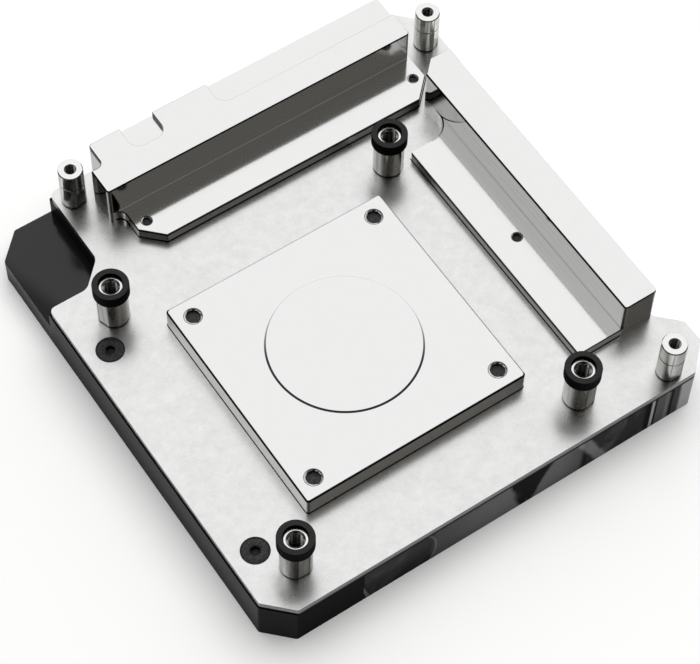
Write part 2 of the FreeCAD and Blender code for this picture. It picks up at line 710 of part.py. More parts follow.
# Jet plate seat and milled channels, open towards the metal base
jet_half_x = size.jet_width / 2
jet_half_y = size.slot_pitch * size.slot_count / 2
seat_x = jet_half_x + size.seat_clearance
seat_y = jet_half_y + size.seat_clearance
seat_sketch = new_sketch(top, "JetSeatOutline", plate_bottom)
add_polygon(seat_sketch, rectangle(-seat_x, seat_x, -seat_y, seat_y))
pocket(top, seat_sketch, size.jet_thickness, "JetSeat")
channels = {
    "InletChannel": (size.inlet_x, size.inlet_y, size.inlet_x, -size.inlet_end, size.inlet_width),
    "LeftCollector": (-size.collector_x, size.collector_back, -size.collector_x, -size.collector_front,
                      size.channel_width),
    "FrontCollector": (-size.collector_x, -size.collector_front, size.collector_x, -size.collector_front,
                       size.channel_width),
    "RightCollector": (size.collector_x, -size.collector_front, size.collector_x, size.bar_channel_y,
                       size.channel_width),
    "BarChannel": (size.collector_x, size.bar_channel_y, size.outlet_x, size.bar_channel_y,
                   size.channel_width),
    "OutletChannel": (size.outlet_x, size.bar_channel_y, size.outlet_x, size.outlet_y,
                      size.channel_width),
}
for name, (x1, y1, x2, y2, width) in channels.items():
    channel_sketch = new_sketch(top, name + "Outline", plate_bottom)
    add_stadium(channel_sketch, x1, y1, x2, y2, width)
    pocket(top, channel_sketch, size.channel_depth, name)

# Ports on the resting side, each reaching its channel
ports = [(size.inlet_x, size.inlet_y), (size.outlet_x, size.outlet_y)]
port_depth = size.manifold_height - size.channel_depth + size.port_overlap
port_sketch = new_sketch(top, "PortCircles")
for x, y in ports:
    add_circle(port_sketch, x, y, size.port_radius)
pocket(top, port_sketch, port_depth, "Ports", upward=True)

# Seal round the wetted chamber: a rounded loop shared by groove and gasket
loop_reach = size.collector_x + size.seal_offset
loop_front = -(size.collector_front + size.seal_offset)
loop_inlet = (size.inlet_width - size.channel_width) / 2 + size.seal_offset
loop_corner = size.collector_back + size.seal_offset
loop_outlet = size.outlet_y - size.seal_offset
loop_right = size.outlet_x + size.seal_offset
loop_back = size.bar_channel_y + size.seal_offset
seal_corners = [
    (-loop_reach, loop_front), (loop_reach, loop_front), (loop_reach, loop_outlet),
    (loop_right, loop_outlet), (loop_right, loop_back), (-loop_inlet, loop_back),
    (-loop_inlet, loop_corner), (-loop_reach, loop_corner),
]
seal_floor = plate_bottom - size.seal_height


def seal_ring(body, kind, half_width, ceiling, name):
    """Rectangular section swept round the loop, from the groove floor to a ceiling."""
    path = new_sketch(body, name + "Path", seal_floor)
    add_rounded_loop(path, seal_corners, size.seal_round)
    section = new_sketch(body, name + "Section", size.seal_round - loop_reach, "YZ_Plane")
    add_polygon(section, rectangle(loop_front - half_width, loop_front + half_width, seal_floor, ceiling))
    sweep(body, kind, path, section, name)


seal_half = size.seal_width / 2
seal_ring(top, "PartDesign::SubtractivePipe", seal_half + size.seat_clearance,
          plate_bottom + size.edge_break, "SealGroove")
seal = new_body("chamber_seal")
seal_ring(seal, "PartDesign::AdditivePipe", seal_half, plate_bottom, "SealRing")

# Jet plate: thin sheet with one long slot over the fins' middle
jet = new_body("jet_plate")
jet_sketch = new_sketch(jet, "JetOutline", plate_bottom - size.jet_thickness)
add_polygon(jet_sketch, rectangle(-jet_half_x, jet_half_x, -jet_half_y, jet_half_y))
pad(jet, jet_sketch, size.jet_thickness, "JetSheet")
jet_slot = new_sketch(jet, "JetSlotOutline", plate_bottom)
slot_half = size.jet_slot_length / 2
add_stadium(jet_slot, zero, slot_half, zero, -slot_half, size.jet_slot_width)
pocket(jet, jet_slot, size.jet_thickness, "JetSlot")


def place(body, x, y, level=zero, turn=zero):
    bind(body, "Placement.Base.x", x)
    bind(body, "Placement.Base.y", y)
    bind(body, "Placement.Base.z", level)
    body.Placement.Rotation = FreeCAD.Rotation(FreeCAD.Vector(0, 0, 1), turn.number)


def profile_sketch(body, name, corners):
    """Half profile in the XZ plane: radius outward, height upward."""
    sketch = new_sketch(body, name, role="XZ_Plane")
    add_polygon(sketch, corners)
    return sketch


def cut_flats(body, reach, flat, low, high, name):
    """Two parallel wrench flats, facing plus and minus X."""
    sketch = new_sketch(body, name + "Outline", high)
    past = reach + flat
    add_polygon(sketch, rectangle(flat, past, -past, past))
    add_polygon(sketch, rectangle(-past, -flat, -past, past))
    pocket(body, sketch, high - low, name)


# Processor standoffs: turned bodies with a neck, a threaded hole and two flats
bore_floor = size.standoff_height - size.standoff_bore_depth
collar_bore = size.standoff_neck + size.collar_clearance
collar_top = size.standoff_height + size.collar_rise
for key, (x, y, turn) in standoffs.items():
    standoff = new_body(f"cpu_standoff_{key}")
    profile = profile_sketch(standoff, "Profile", [
        (zero, zero), (size.standoff_radius, zero), (size.standoff_radius, size.standoff_shoulder),
        (size.standoff_neck, size.standoff_shoulder), (size.standoff_neck, size.standoff_height),
        (size.standoff_bore, size.standoff_height), (size.standoff_bore, bore_floor), (zero, bore_floor),
    ])
    revolve(standoff, profile)
    cut_flats(standoff, size.standoff_radius, size.standoff_flat, zero, size.standoff_shoulder, "Flats")
    place(standoff, x, y, plate_top, turn)

    collar = new_body(f"standoff_collar_{key}")
    collar_profile = profile_sketch(collar, "Profile", rectangle(
        collar_bore, size.collar_radius, size.standoff_shoulder, collar_top))
    revolve(collar, collar_profile)
    place(collar, x, y, plate_top)

# Board standoffs: slimmer, with flats on the lower half
board_floor = size.board_height - size.board_bore_depth
for key, (x, y, turn) in board_standoffs.items():
    standoff = new_body(f"board_standoff_{key}")
    profile = profile_sketch(standoff, "Profile", [
        (zero, zero), (size.board_radius, zero), (size.board_radius, size.board_height),
        (size.board_bore, size.board_height), (size.board_bore, board_floor), (zero, board_floor),
    ])
    revolve(standoff, profile)
    cut_flats(standoff, size.board_radius, size.board_flat, zero, size.board_flat_height, "Flats")
    place(standoff, x, y, plate_top, turn)


def screw_group(label, bodies):
    """Identical screws kept as separate solids of one sub-part."""
    group = doc.addObject("Part::Compound", label)
    group.Links = bodies
    group.Label = label
    return group


# Countersunk cover screws, heads flush with the plate
cover_screw_bodies = []
for index, (x, y) in enumerate(cover_screws):
    screw = new_body(f"cover_screw_blank_{index}")
    profile = profile_sketch(screw, "Profile", [
        (zero, -size.cover_screw_length), (size.cover_shank_radius, -size.cover_screw_length),
        (size.cover_shank_radius, -head_depth), (size.cover_head_radius, zero), (zero, zero),
    ])
    revolve(screw, profile)
    socket = new_sketch(screw, "SocketOutline")
    add_polygon(socket, hexagon(size.cover_hex))
    pocket(screw, socket, size.cover_hex_depth, "Socket")
    place(screw, x, y, plate_top)
    cover_screw_bodies.append(screw)


def set_screw(label, x, y, shank, tip_level):
    """Headless screw standing on the clear top, tip up."""
    screw = new_body(label)
    profile = profile_sketch(screw, "Profile", rectangle(zero, shank, plate_bottom, tip_level))
    revolve(screw, profile)
    place(screw, x, y)
    return screw


pedestal_screw_bodies = [
    set_screw(f"pedestal_screw_blank_{index}", x, y, size.pedestal_shank_radius,
              pedestal_top - size.pedestal_tip_below)
    for index, (x, y) in enumerate(pedestal_screws)
]
shelf_screw_bodies = [
    set_screw(f"shelf_screw_blank_{index}", x, y, size.shelf_shank_radius, level - size.shelf_tip_below)
    for index, (x, y, level) in enumerate(shelf_screws)
]
screw_group("cover_screws", cover_screw_bodies)
screw_group("pedestal_screws", pedestal_screw_bodies)
screw_group("shelf_screws", shelf_screw_bodies)
doc.recompute()

# Sub-parts that are written out, by label
NODES = (
    ["cold_base", "clear_top", "side_cover", "jet_plate", "chamber_seal"]
    + [f"cpu_standoff_{key}" for key in standoffs]
    + [f"standoff_collar_{key}" for key in standoffs]
    + [f"board_standoff_{key}" for key in board_standoffs]
    + ["cover_screws", "pedestal_screws", "shelf_screws"]
)

failed = [item.Label for item in doc.Objects if "Invalid" in item.State or "Error" in item.State]
if failed:
    raise RuntimeError(f"features failed: {failed}")
nodes = {label: doc.getObjectsByLabel(label)[0] for label in NODES}
for label, node in nodes.items():
    if node.Shape.isNull() or not node.Shape.isValid():
        raise RuntimeError(f"bad shape: {label}")
os.makedirs("parts", exist_ok=True)
for label, node in nodes.items():
    node.Shape.exportStep(f"parts/{label}.step")
    box = node.Shape.BoundBox
    print(f"{label}: {len(node.Shape.Solids)} solids, volume {node.Shape.Volume:.1f}, "
          f"z {box.ZMin:.2f} to {box.ZMax:.2f}")
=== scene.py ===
import math

import bmesh
import bpy
import numpy as np
from bpy.props import FloatProperty, FloatVectorProperty, PointerProperty
from mathutils import Matrix, Vector


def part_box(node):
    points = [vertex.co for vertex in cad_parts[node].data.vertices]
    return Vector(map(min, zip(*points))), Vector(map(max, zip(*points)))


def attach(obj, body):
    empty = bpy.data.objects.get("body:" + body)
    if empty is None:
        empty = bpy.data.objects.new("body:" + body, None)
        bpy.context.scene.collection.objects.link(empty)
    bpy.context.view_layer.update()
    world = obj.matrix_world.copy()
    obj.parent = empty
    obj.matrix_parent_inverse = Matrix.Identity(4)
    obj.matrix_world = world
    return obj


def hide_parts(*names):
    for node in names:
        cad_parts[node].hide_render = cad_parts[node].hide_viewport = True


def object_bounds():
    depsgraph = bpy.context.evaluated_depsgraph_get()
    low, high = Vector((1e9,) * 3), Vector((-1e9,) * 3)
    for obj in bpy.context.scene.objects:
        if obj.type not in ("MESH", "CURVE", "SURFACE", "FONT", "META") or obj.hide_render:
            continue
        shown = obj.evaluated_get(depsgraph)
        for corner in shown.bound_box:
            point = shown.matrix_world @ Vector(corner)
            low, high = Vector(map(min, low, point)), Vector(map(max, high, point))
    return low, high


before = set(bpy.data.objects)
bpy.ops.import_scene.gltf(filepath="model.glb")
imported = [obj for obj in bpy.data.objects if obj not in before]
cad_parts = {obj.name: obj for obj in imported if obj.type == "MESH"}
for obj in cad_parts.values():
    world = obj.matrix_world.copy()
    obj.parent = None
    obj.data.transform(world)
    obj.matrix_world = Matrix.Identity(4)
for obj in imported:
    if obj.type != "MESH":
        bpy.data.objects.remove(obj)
CAD_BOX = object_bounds()

bl_info = {
    "name": "Cold plate dressing",
    "version": (1, 0, 0),
    "blender": (4, 5, 0),
    "location": "View3D > Sidebar > Cold plate",
    "description": "Standoffs, collars, screws, threads and finishes for a cold plate",
    "category": "Add Mesh",
}

MM = 0.001
TURN = 2 * math.pi
CORNERS = ("front", "left", "right", "back")
POSTS = ("left", "back", "right")

# Distance square to a 45 degree cut, for each millimetre along X or Y
SLANT = math.sqrt(0.5)

# Steps round a turned piece, round a thread ring, over a rounded edge and in a thread's pitch
ROUND_STEPS = 96
RING_STEPS = 64
ROUNDING_STEPS = 7
THREAD_STEPS = 10

# Points nearer than this, in metres, are merged, and edges flatter than this, in degrees, are smooth
MERGE_DISTANCE = 1e-7
SMOOTH_ANGLE = 35.0


def cad_spot(node):
    """Middle of a CAD node in X and Y with its lowest and highest level, in millimetres."""
    low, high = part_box(node)
    return (low.x + high.x) / 2 / MM, (low.y + high.y) / 2 / MM, low.z / MM, high.z / MM


# Levels in millimetres
PLATE_TOP = cad_spot("cpu_standoff_front")[2]
PEDESTAL_TOP = PLATE_TOP + 5.3
LEFT_BAR_TOP = PLATE_TOP + 12.0
RIGHT_BAR_TOP = PLATE_TOP + 11.2
LEFT_SHELF_TOP = PLATE_TOP + 2.9
RIGHT_SHELF_TOP = PLATE_TOP + 2.5
TAB_TOP = 6.8

# The part from above, in millimetres from the middle of the pedestal
LEFT_SIDE, FRONT_SIDE = CAD_BOX[0][0] / MM, CAD_BOX[0][1] / MM
PEDESTAL_HALF = 28.95
PEDESTAL_CORNER = 0.8
DISC_LINE = 17.5

# Side cover's low tab: its front end, and y - x along its cut corner
TAB_FRONT, TAB_CORNER = 46.4, 117.0

# Left bar: its wall, left end, right end and back step, and the shelf in front of it
LEFT_WALL, LEFT_END, LEFT_BAR_RIGHT, LEFT_STEP = 59.25, -25.15, 58.2, 66.4
LEFT_SHELF_FRONT, LEFT_SHELF_LEFT = 47.45, -21.9
SHELF_CUT = 4.9
HOOK_RADIUS = 2.0
RECESSES = ((-13.75, -4.8), (9.75, 70.0))
RECESS_FRONT, RECESS_CORNER, RECESS_DEPTH = 66.2, 2.8, 1.4

# Right bar: its wall, front end, outer side and back end, and the shelf beside it
RIGHT_WALL, RIGHT_END, RIGHT_OUTER, RIGHT_BACK = 54.9, -29.95, 63.85, 51.1
RIGHT_SHELF_LEFT, RIGHT_SHELF_BACK = 42.85, 36.15
BEND_RADIUS = 6.0

# Holes in the pedestal and the shelves, with their radii
PEDESTAL_HOLES = [(side * 24.4, end * 24.4) for side in (-1, 1) for end in (-1, 1)]
SHELF_HOLES = [(-18.9, 53.4), (55.4, 53.4), (49.85, 3.2)]
PEDESTAL_BORE, SHELF_BORE = 2.045, 1.295

# Softness of a painted dark line and height of the painted contact shadow at a foot, in
# millimetres, and the tint of metal at a glancing angle
LINE_SOFT = 0.02
FOOT_SHADOW = 0.4
EDGE_TINT = (0.7, 0.7, 0.7)


# Sizes and colours

def length(name, value, note):
    return FloatProperty(
        name=name, description=note, default=value * MM, unit="LENGTH", precision=5)


def angle(name, degrees, note):
    return FloatProperty(
        name=name, description=note, default=math.radians(degrees), unit="ROTATION")


def colour(name, value, note):
    return FloatVectorProperty(
        name=name, description=note, default=value, size=3, min=0, max=1, subtype="COLOR")


def share(name, value, note):
    return FloatProperty(
        name=name, description=note, default=value, min=0, max=1, subtype="FACTOR")


def strength(name, value, note):
    return FloatProperty(name=name, description=note, default=value, min=0)


def watts(name, value, note):
    return FloatProperty(name=name, description=note, default=value, min=0, unit="POWER")


class StandoffSizes(bpy.types.PropertyGroup):
    """Turned posts that take the processor screws."""
    radius: length("Radius", 3.65, "Body radius")
    flat: length("Flat", 3.35, "Axis to each wrench flat")
    shoulder: length("Shoulder", 9.55, "Plate to shoulder")
    neck: length("Neck", 2.68, "Neck radius inside the collar")
    mouth: length("Mouth", 2.14, "Countersink radius at the open end")
    major: length("Thread radius", 2.0, "Thread radius in the groove")
    minor: length("Bore radius", 1.65, "Thread radius at the crest")
    pitch: length("Pitch", 0.7, "Thread pitch")
    depth: length("Thread depth", 5.6, "Threaded length from the open end")
    edge: length("Edge", 0.08, "Bevel on turned edges")
    front_turn: angle("Front flat", -92.6, "Direction of the front standoff's flat")
    left_turn: angle("Left flat", -160.5, "Direction of the left standoff's flat")
    right_turn: angle("Right flat", -80.1, "Direction of the right standoff's flat")
    back_turn: angle("Back flat", -50.0, "Direction of the back standoff's flat")


class CollarSizes(bpy.types.PropertyGroup):
    """Black rings round the standoffs' necks."""
    radius: length("Radius", 4.22, "Outer radius")
    bore: length("Bore", 2.8, "Inner radius")
    rounding: length("Rounding", 0.14, "Rounding of the outer edges")
    bevel: length("Bevel", 0.06, "Bevel of the upper inner edge")


class PostSizes(bpy.types.PropertyGroup):
    """Slim posts that take the board screws."""
    radius: length("Radius", 2.95, "Body radius")
    flat: length("Flat", 2.65, "Axis to each wrench flat")
    flat_height: length("Flat height", 5.6, "Plate to the upper end of the flats")
    groove: length("Groove", 6.9, "Plate to the turned groove")
    groove_width: length("Groove width", 0.46, "Width of the turned groove")
    groove_depth: length("Groove depth", 0.28, "Depth of the turned groove")
    mouth: length("Mouth", 1.44, "Countersink radius at the open end")
    major: length("Thread radius", 1.5, "Thread radius in the groove")
    minor: length("Bore radius", 1.25, "Thread radius at the crest")
    pitch: length("Pitch", 0.5, "Thread pitch")
    depth: length("Thread depth", 4.5, "Threaded length from the open end")
    edge: length("Edge", 0.2, "Bevel on turned edges")
    left_turn: angle("Left flat", -75.0, "Direction of the left post's flat")
    back_turn: angle("Back flat", -62.0, "Direction of the back post's flat")
    right_turn: angle("Right flat", -100.0, "Direction of the right post's flat")


class ScrewSizes(bpy.types.PropertyGroup):
    """Countersunk screws beside the left edge, and thread rings in the block's holes."""
    head: length("Head", 3.3, "Head radius")
    shank: length("Shank", 1.5, "Shank radius")
    reach: length("Length", 8.0, "Overall length")
    hexagon: length("Socket", 2.0, "Hexagon socket across flats")
    socket: length("Socket depth", 1.2, "Depth of the hexagon socket")
    rim: length("Rim", 0.3, "Stepped rim of the head")
    ring_depth: length("Ring depth", 0.85, "Visible thread in the pedestal's holes")
    ring_wall: length("Ring wall", 0.3, "Height of the thread crests in the pedestal's holes")


class Finishes(bpy.types.PropertyGroup):
    """Colours and gloss of the metal and plastic."""
    nickel: colour("Nickel", (0.86, 0.86, 0.855), "Plated metal")
    nickel_dark: colour("Dark nickel", (0.74, 0.74, 0.72), "Plated metal of the turned posts")
    plastic: colour("Plastic", (0.005, 0.005, 0.0055), "Black side cover")
    smoke: colour("Clear plastic", (0.27, 0.273, 0.276), "Tint of the clear top")
    rubber: colour("Collar", (0.031, 0.0315, 0.0315), "Collars")
    oxide: colour("Black steel", (0.03, 0.03, 0.031), "Blackened screws")
    steel: colour("Steel", (0.55, 0.55, 0.55), "Jet plate")
    gasket: colour("Gasket", (0.02, 0.02, 0.02), "Gasket round the chamber")
    satin: share("Satin", 0.25, "Roughness of the plate between the raised faces")
    polish: share("Polish", 0.11, "Roughness of the raised faces")


class StageSettings(bpy.types.PropertyGroup):
    """Floor and light."""
    floor: colour("Floor", (0.9, 0.9, 0.9), "Floor")
    bright: strength("Bright side", 1.0, "Strength of the light behind the part")
    dim: strength("Dim side", 0.19, "Strength of the light beside the camera")
    lamp: watts("Soft box", 14.5, "Power of the soft box overhead")
    lift: share("Floor lift", 0.17, "Light that the floor gives off by itself")


# Surfaces

def finish_mesh(name, parts, material):
    """Joins grids of points into one smooth mesh and attaches the piece to the root body. Each
    point's shade goes to the mesh attribute of that name."""
    points = np.concatenate([part[0] for part in parts])
    offsets = np.cumsum([0] + [len(part[0]) for part in parts[:-1]])
    faces = np.concatenate([part[1] + shift for part, shift in zip(parts, offsets)])
    mesh = bpy.data.meshes.new(name)
    mesh.from_pydata((points * MM).tolist(), [], faces.tolist())
    shades = mesh.attributes.new("shade", "FLOAT", "POINT")
    shades.data.foreach_set("value", np.concatenate([part[2] for part in parts]).astype(np.float32))
    cleaner = bmesh.new()
    cleaner.from_mesh(mesh)
    bmesh.ops.remove_doubles(cleaner, verts=cleaner.verts, dist=MERGE_DISTANCE)
    bmesh.ops.dissolve_degenerate(cleaner, edges=cleaner.edges, dist=MERGE_DISTANCE)
    cleaner.to_mesh(mesh)
    cleaner.free()
    mesh.shade_smooth()
    mesh.set_sharp_from_angle(angle=math.radians(SMOOTH_ANGLE))
    piece = bpy.data.objects.new(name, mesh)
    bpy.context.scene.collection.objects.link(piece)
    mesh.materials.append(material)
    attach(piece, "root")
    return piece


def grid_faces(rows, columns, loop_rows=False):
    """Four-cornered faces of a grid whose columns close round, and rows too where asked."""
    row = np.arange(rows if loop_rows else rows - 1)[:, None]
    column = np.arange(columns)[None, :]
    next_row = (row + 1) % rows
    next_column = (column + 1) % columns
    corners = [row * columns + column, row * columns + next_column,
               next_row * columns + next_column, next_row * columns + column]
    return np.stack([np.broadcast_to(c, (len(row), columns)) for c in corners], -1).reshape(-1, 4)


def even_angles(count=ROUND_STEPS):
    """Angles of equal steps round an axis: step / count of a turn."""
    return np.arange(count) / count * TURN


def ring_angles(turn, radius, flat, line=0.05):
    """Angles round a post: even steps plus the exact ends of both wrench flats and a step on
    each side of them. The painted dark reflection is 1 at an end and falls to 0 over the line's
    angle."""
    half = math.acos(flat / radius)
    ends = turn + np.array([-half, half, math.pi - half, math.pi + half])
    steps = np.concatenate([even_angles(), ends % TURN, (ends - line) % TURN, (ends + line) % TURN])
    angles = np.unique(np.round(steps, 5))
    away = np.abs((angles[:, None] - ends + math.pi) % TURN - math.pi).min(axis=1)
    return angles, np.clip(1 - away / line, 0, 1)


def flatted(radius, angles, turn, flat):
    """Radius cut by two flats: the smaller of the radius and flat / |cos(angle - turn)|."""
    return np.minimum(radius, flat / np.maximum(np.abs(np.cos(angles - turn)), 1e-6))


def thread_rows(top, depth, major, minor, pitch, angles):
    """Threaded bore: the radius swings between minor and major as a clipped triangle wave of
    depth / pitch + angle / turn, so its crests climb round as a helix. The painted shade is dark
    in the groove and grows with the depth."""
    heights = np.arange(0.0, depth, pitch / THREAD_STEPS)[:, None]
    phase = (heights / pitch + angles[None, :] / TURN) % 1.0
    wave = 2 * np.abs(phase - 0.5)
    groove = np.clip(5 * wave - 2, 0, 1)
    radii = minor + (major - minor) * groove
    shades = np.clip(0.1 + 0.6 * groove + heights * 0.12, 0, 0.96)
    return radii, np.broadcast_to(top - heights, radii.shape), shades


def turned(rows, angles, x, y, loop_rows=False):
    """Profile carried round an upright axis. Each row is (radius, height) or (radius,
    height, shade), each one number or one for each angle; point = axis + radius * (cos, sin)."""
    full = [(*row, 0.0)[:3] for row in rows]
    radii, heights, shades = (np.stack([np.broadcast_to(row[key], angles.shape) for row in full])
                              for key in range(3))
    points = np.stack([x + radii * np.cos(angles), y + radii * np.sin(angles), heights], -1)
    return points.reshape(-1, 3), grid_faces(len(rows), len(angles), loop_rows), shades.reshape(-1)


def foot_rows(low, body, edge, line):
    """Foot of a post: its underside, a bevel and a painted contact shadow, then the painted dark
    edges of its flats.
    """
    return [(0.0, low), (body - edge, low, 1.0), (body, low + edge, 1.0),
            (body, low + FOOT_SHADOW, 1.0), (body, low + FOOT_SHADOW + 0.05, line)]


def bore_rows(top, sizes, angles):
    """Countersunk mouth, thread and floor of a blind threaded hole, with painted shade: a dark ring
    inside the mouth, dark grooves and a dark floor.
    """
    mouth, minor, pitch = sizes["mouth"], sizes["minor"], sizes["pitch"]
    start = top - 0.12 - (mouth - minor) * 0.5
    radii, heights, shades = thread_rows(start, sizes["depth"], sizes["major"], minor, pitch, angles)
    rows = [(mouth, top), (mouth - 0.02, top - 0.03, 0.95), (mouth - 0.1, top - 0.1, 0.95),
            (mouth - 0.12, top - 0.11, 0.3), (minor + 0.04, start + 0.02, 0.5)]
    rows += list(zip(radii, heights, shades))
    floor = heights[-1, 0] - pitch
    return rows + [(minor, floor, 0.9), (0.0, floor - minor * 0.5, 0.9)]


# Shader maths

class Value:
    """A shader socket that adds its own Math nodes when it is used in an expression."""

    def __init__(self, shader, socket):
        self.shader = shader
        self.socket = socket

    def maths(self, operation, *others):
        """A Math node on this value and the others."""
        return self.shader.add("ShaderNodeMath", {"operation": operation}, [self, *others])

    def __add__(self, other):
        return self.maths("ADD", other)

    def __sub__(self, other):
        return self.maths("SUBTRACT", other)

    def __mul__(self, other):
        return self.maths("MULTIPLY", other)

    def __truediv__(self, other):
        return self.maths("DIVIDE", other)

    def __rsub__(self, other):
        return self.shader.add("ShaderNodeMath", {"operation": "SUBTRACT"}, [other, self])

    __radd__ = __add__
    __rmul__ = __mul__

    def __abs__(self):
        return self.maths("ABSOLUTE")

    def above(self, other):
        """The larger of two values."""
        return self.maths("MAXIMUM", other)

    def __pow__(self, power):
        return self.maths("POWER", power)

    def ramp(self, low, high):
        """0 below low, 1 above high, smooth between them."""
        settings = {"interpolation_type": "SMOOTHSTEP"}
        inputs = {"Value": self, "From Min": low, "From Max": high}
        return self.shader.add("ShaderNodeMapRange", settings, inputs)

    def band(self, low, high, soft=0.04):
        """1 between low and high, with soft ends inside."""
        return self.ramp(low, low + soft) * (1 - self.ramp(high - soft, high))


class Shader:
    """A node tree that is built from expressions."""

    def __init__(self, tree):
        self.nodes = tree.nodes
        self.links = tree.links

    def add(self, kind, settings=None, inputs=(), output=0):
        """One node: its settings first, then the values or links of its sockets."""
        node = self.nodes.new(kind)
        for key, setting in (settings or {}).items():
            setattr(node, key, setting)
        pairs = inputs.items() if isinstance(inputs, dict) else enumerate(inputs)
        for key, item in pairs:
            self.plug(node.inputs[key], item)
        return Value(self, node.outputs[output])

    def split(self, vector):
        """The three parts of a vector."""
        return [self.add("ShaderNodeSeparateXYZ", {}, [vector], output=key) for key in "XYZ"]

    def plug(self, socket, item):
        """Links a value to a socket, or sets the socket's own number or colour."""
        if isinstance(item, Value):
            self.links.new(item.socket, socket)
        else:
            socket.default_value = item

    def blend(self, factor, first, second):
        """Colour mix: first where the factor is 0, second where it is 1."""
        node = self.nodes.new("ShaderNodeMix")
        node.data_type = "RGBA"
        for key, item in ((0, factor), (6, first), (7, second)):
            if isinstance(item, tuple) and len(item) == 3:
                item = (*item, 1.0)
            self.plug(node.inputs[key], item)
        return Value(self, node.outputs[2])


class Finish(Shader):
    """A node material, built from expressions, that ends in one Principled surface."""

    def __init__(self, name):
        self.material = bpy.data.materials.new(name)
        self.material.use_nodes = True
        super().__init__(self.material.node_tree)
        self.surface = self.nodes["Principled BSDF"]

    def place(self):
        """Object coordinates as one vector in metres, and as three values in millimetres."""
        spot = self.add("ShaderNodeTexCoord", output="Object")
        return spot, [part * 1000.0 for part in self.split(spot)]

    def mesh_shade(self):
        """The shade that the mesh holds at each point."""
        return self.add("ShaderNodeAttribute", {"attribute_name": "shade"}, output="Fac")

    def noise(self, spot, scale, detail=3.0, stretch=(1, 1, 1), roughness=0.5, distortion=0.0):
        """Noise round 0.5, with features about 1 / scale metres across."""
        mapped = self.add("ShaderNodeMapping", {}, {"Vector": spot, "Scale": stretch})
        inputs = {"Vector": mapped, "Scale": scale, "Detail": detail, "Roughness": roughness,
                  "Distortion": distortion}
        return self.add("ShaderNodeTexNoise", {}, inputs)

    def bump(self, height, distance, amount):
        """Bumps as deep as the distance, in metres, where the height goes from 0 to 1."""
        inputs = {"Height": height, "Distance": distance, "Strength": amount}
        self.set("Normal", self.add("ShaderNodeBump", {}, inputs))

    def set(self, key, item):
        """Plugs a value, number or colour into the surface."""
        if isinstance(item, tuple) and len(item) == 3:
            item = (*item, 1.0)
        self.plug(self.surface.inputs[key], item)

    def tone(self, base, gain):
        """A colour made lighter or darker by a gain between 0 and 2."""
        return self.blend(gain * 0.5, (0.0, 0.0, 0.0), tuple(2 * part for part in base))


def away_from(x, y, spot=(0.0, 0.0)):
    """Distance from an upright axis: the root of the summed squares."""
    return ((x - spot[0]) ** 2.0 + (y - spot[1]) ** 2.0) ** 0.5


def ring_mask(x, y, spots, inner, outer, soft):
    """1 between two radii round any of the given spots."""
    total = 0.0
    for spot in spots:
        away = away_from(x, y, spot)
        ring = away.ramp(inner - soft, inner) * (1 - away.ramp(outer, outer + soft))
        total = ring + total
    return total


def box_line(x, y, left, right, front, corner, width):
    """A line along a recess outline that is open at the back: the distance to a rounded
    rectangle, |distance| below the width."""
    across = abs(x - (left + right) / 2) - ((right - left) / 2 - corner)
    inward = (front + corner) - y
    outside = away_from(across.above(0.0), inward.above(0.0))
    inside = across.above(inward)
    within = (1 - outside.ramp(0.0, 0.01)) * (1 - inside.ramp(-0.01, 0.0))
    nearest = outside - corner + inside * within
    return 1 - abs(nearest).ramp(width * 0.5, width)


def edge_line(z, away, level, over, down):
    """1 on a broken edge: down from the level on the wall, and over on the top beside it,
    where away is the distance out from the wall."""
    return z.band(level - down, level + 0.05, LINE_SOFT) * away.band(-over, 0.12, LINE_SOFT)


def foot_shadow(z, away):
    """1 where a wall meets the plate, a little up the wall and a little out on the plate, for the
    painted contact shadow.
    """
    on_foot = z.band(PLATE_TOP - 0.1, PLATE_TOP + FOOT_SHADOW, LINE_SOFT)
    return on_foot * away.band(-0.1, 0.14, LINE_SOFT)


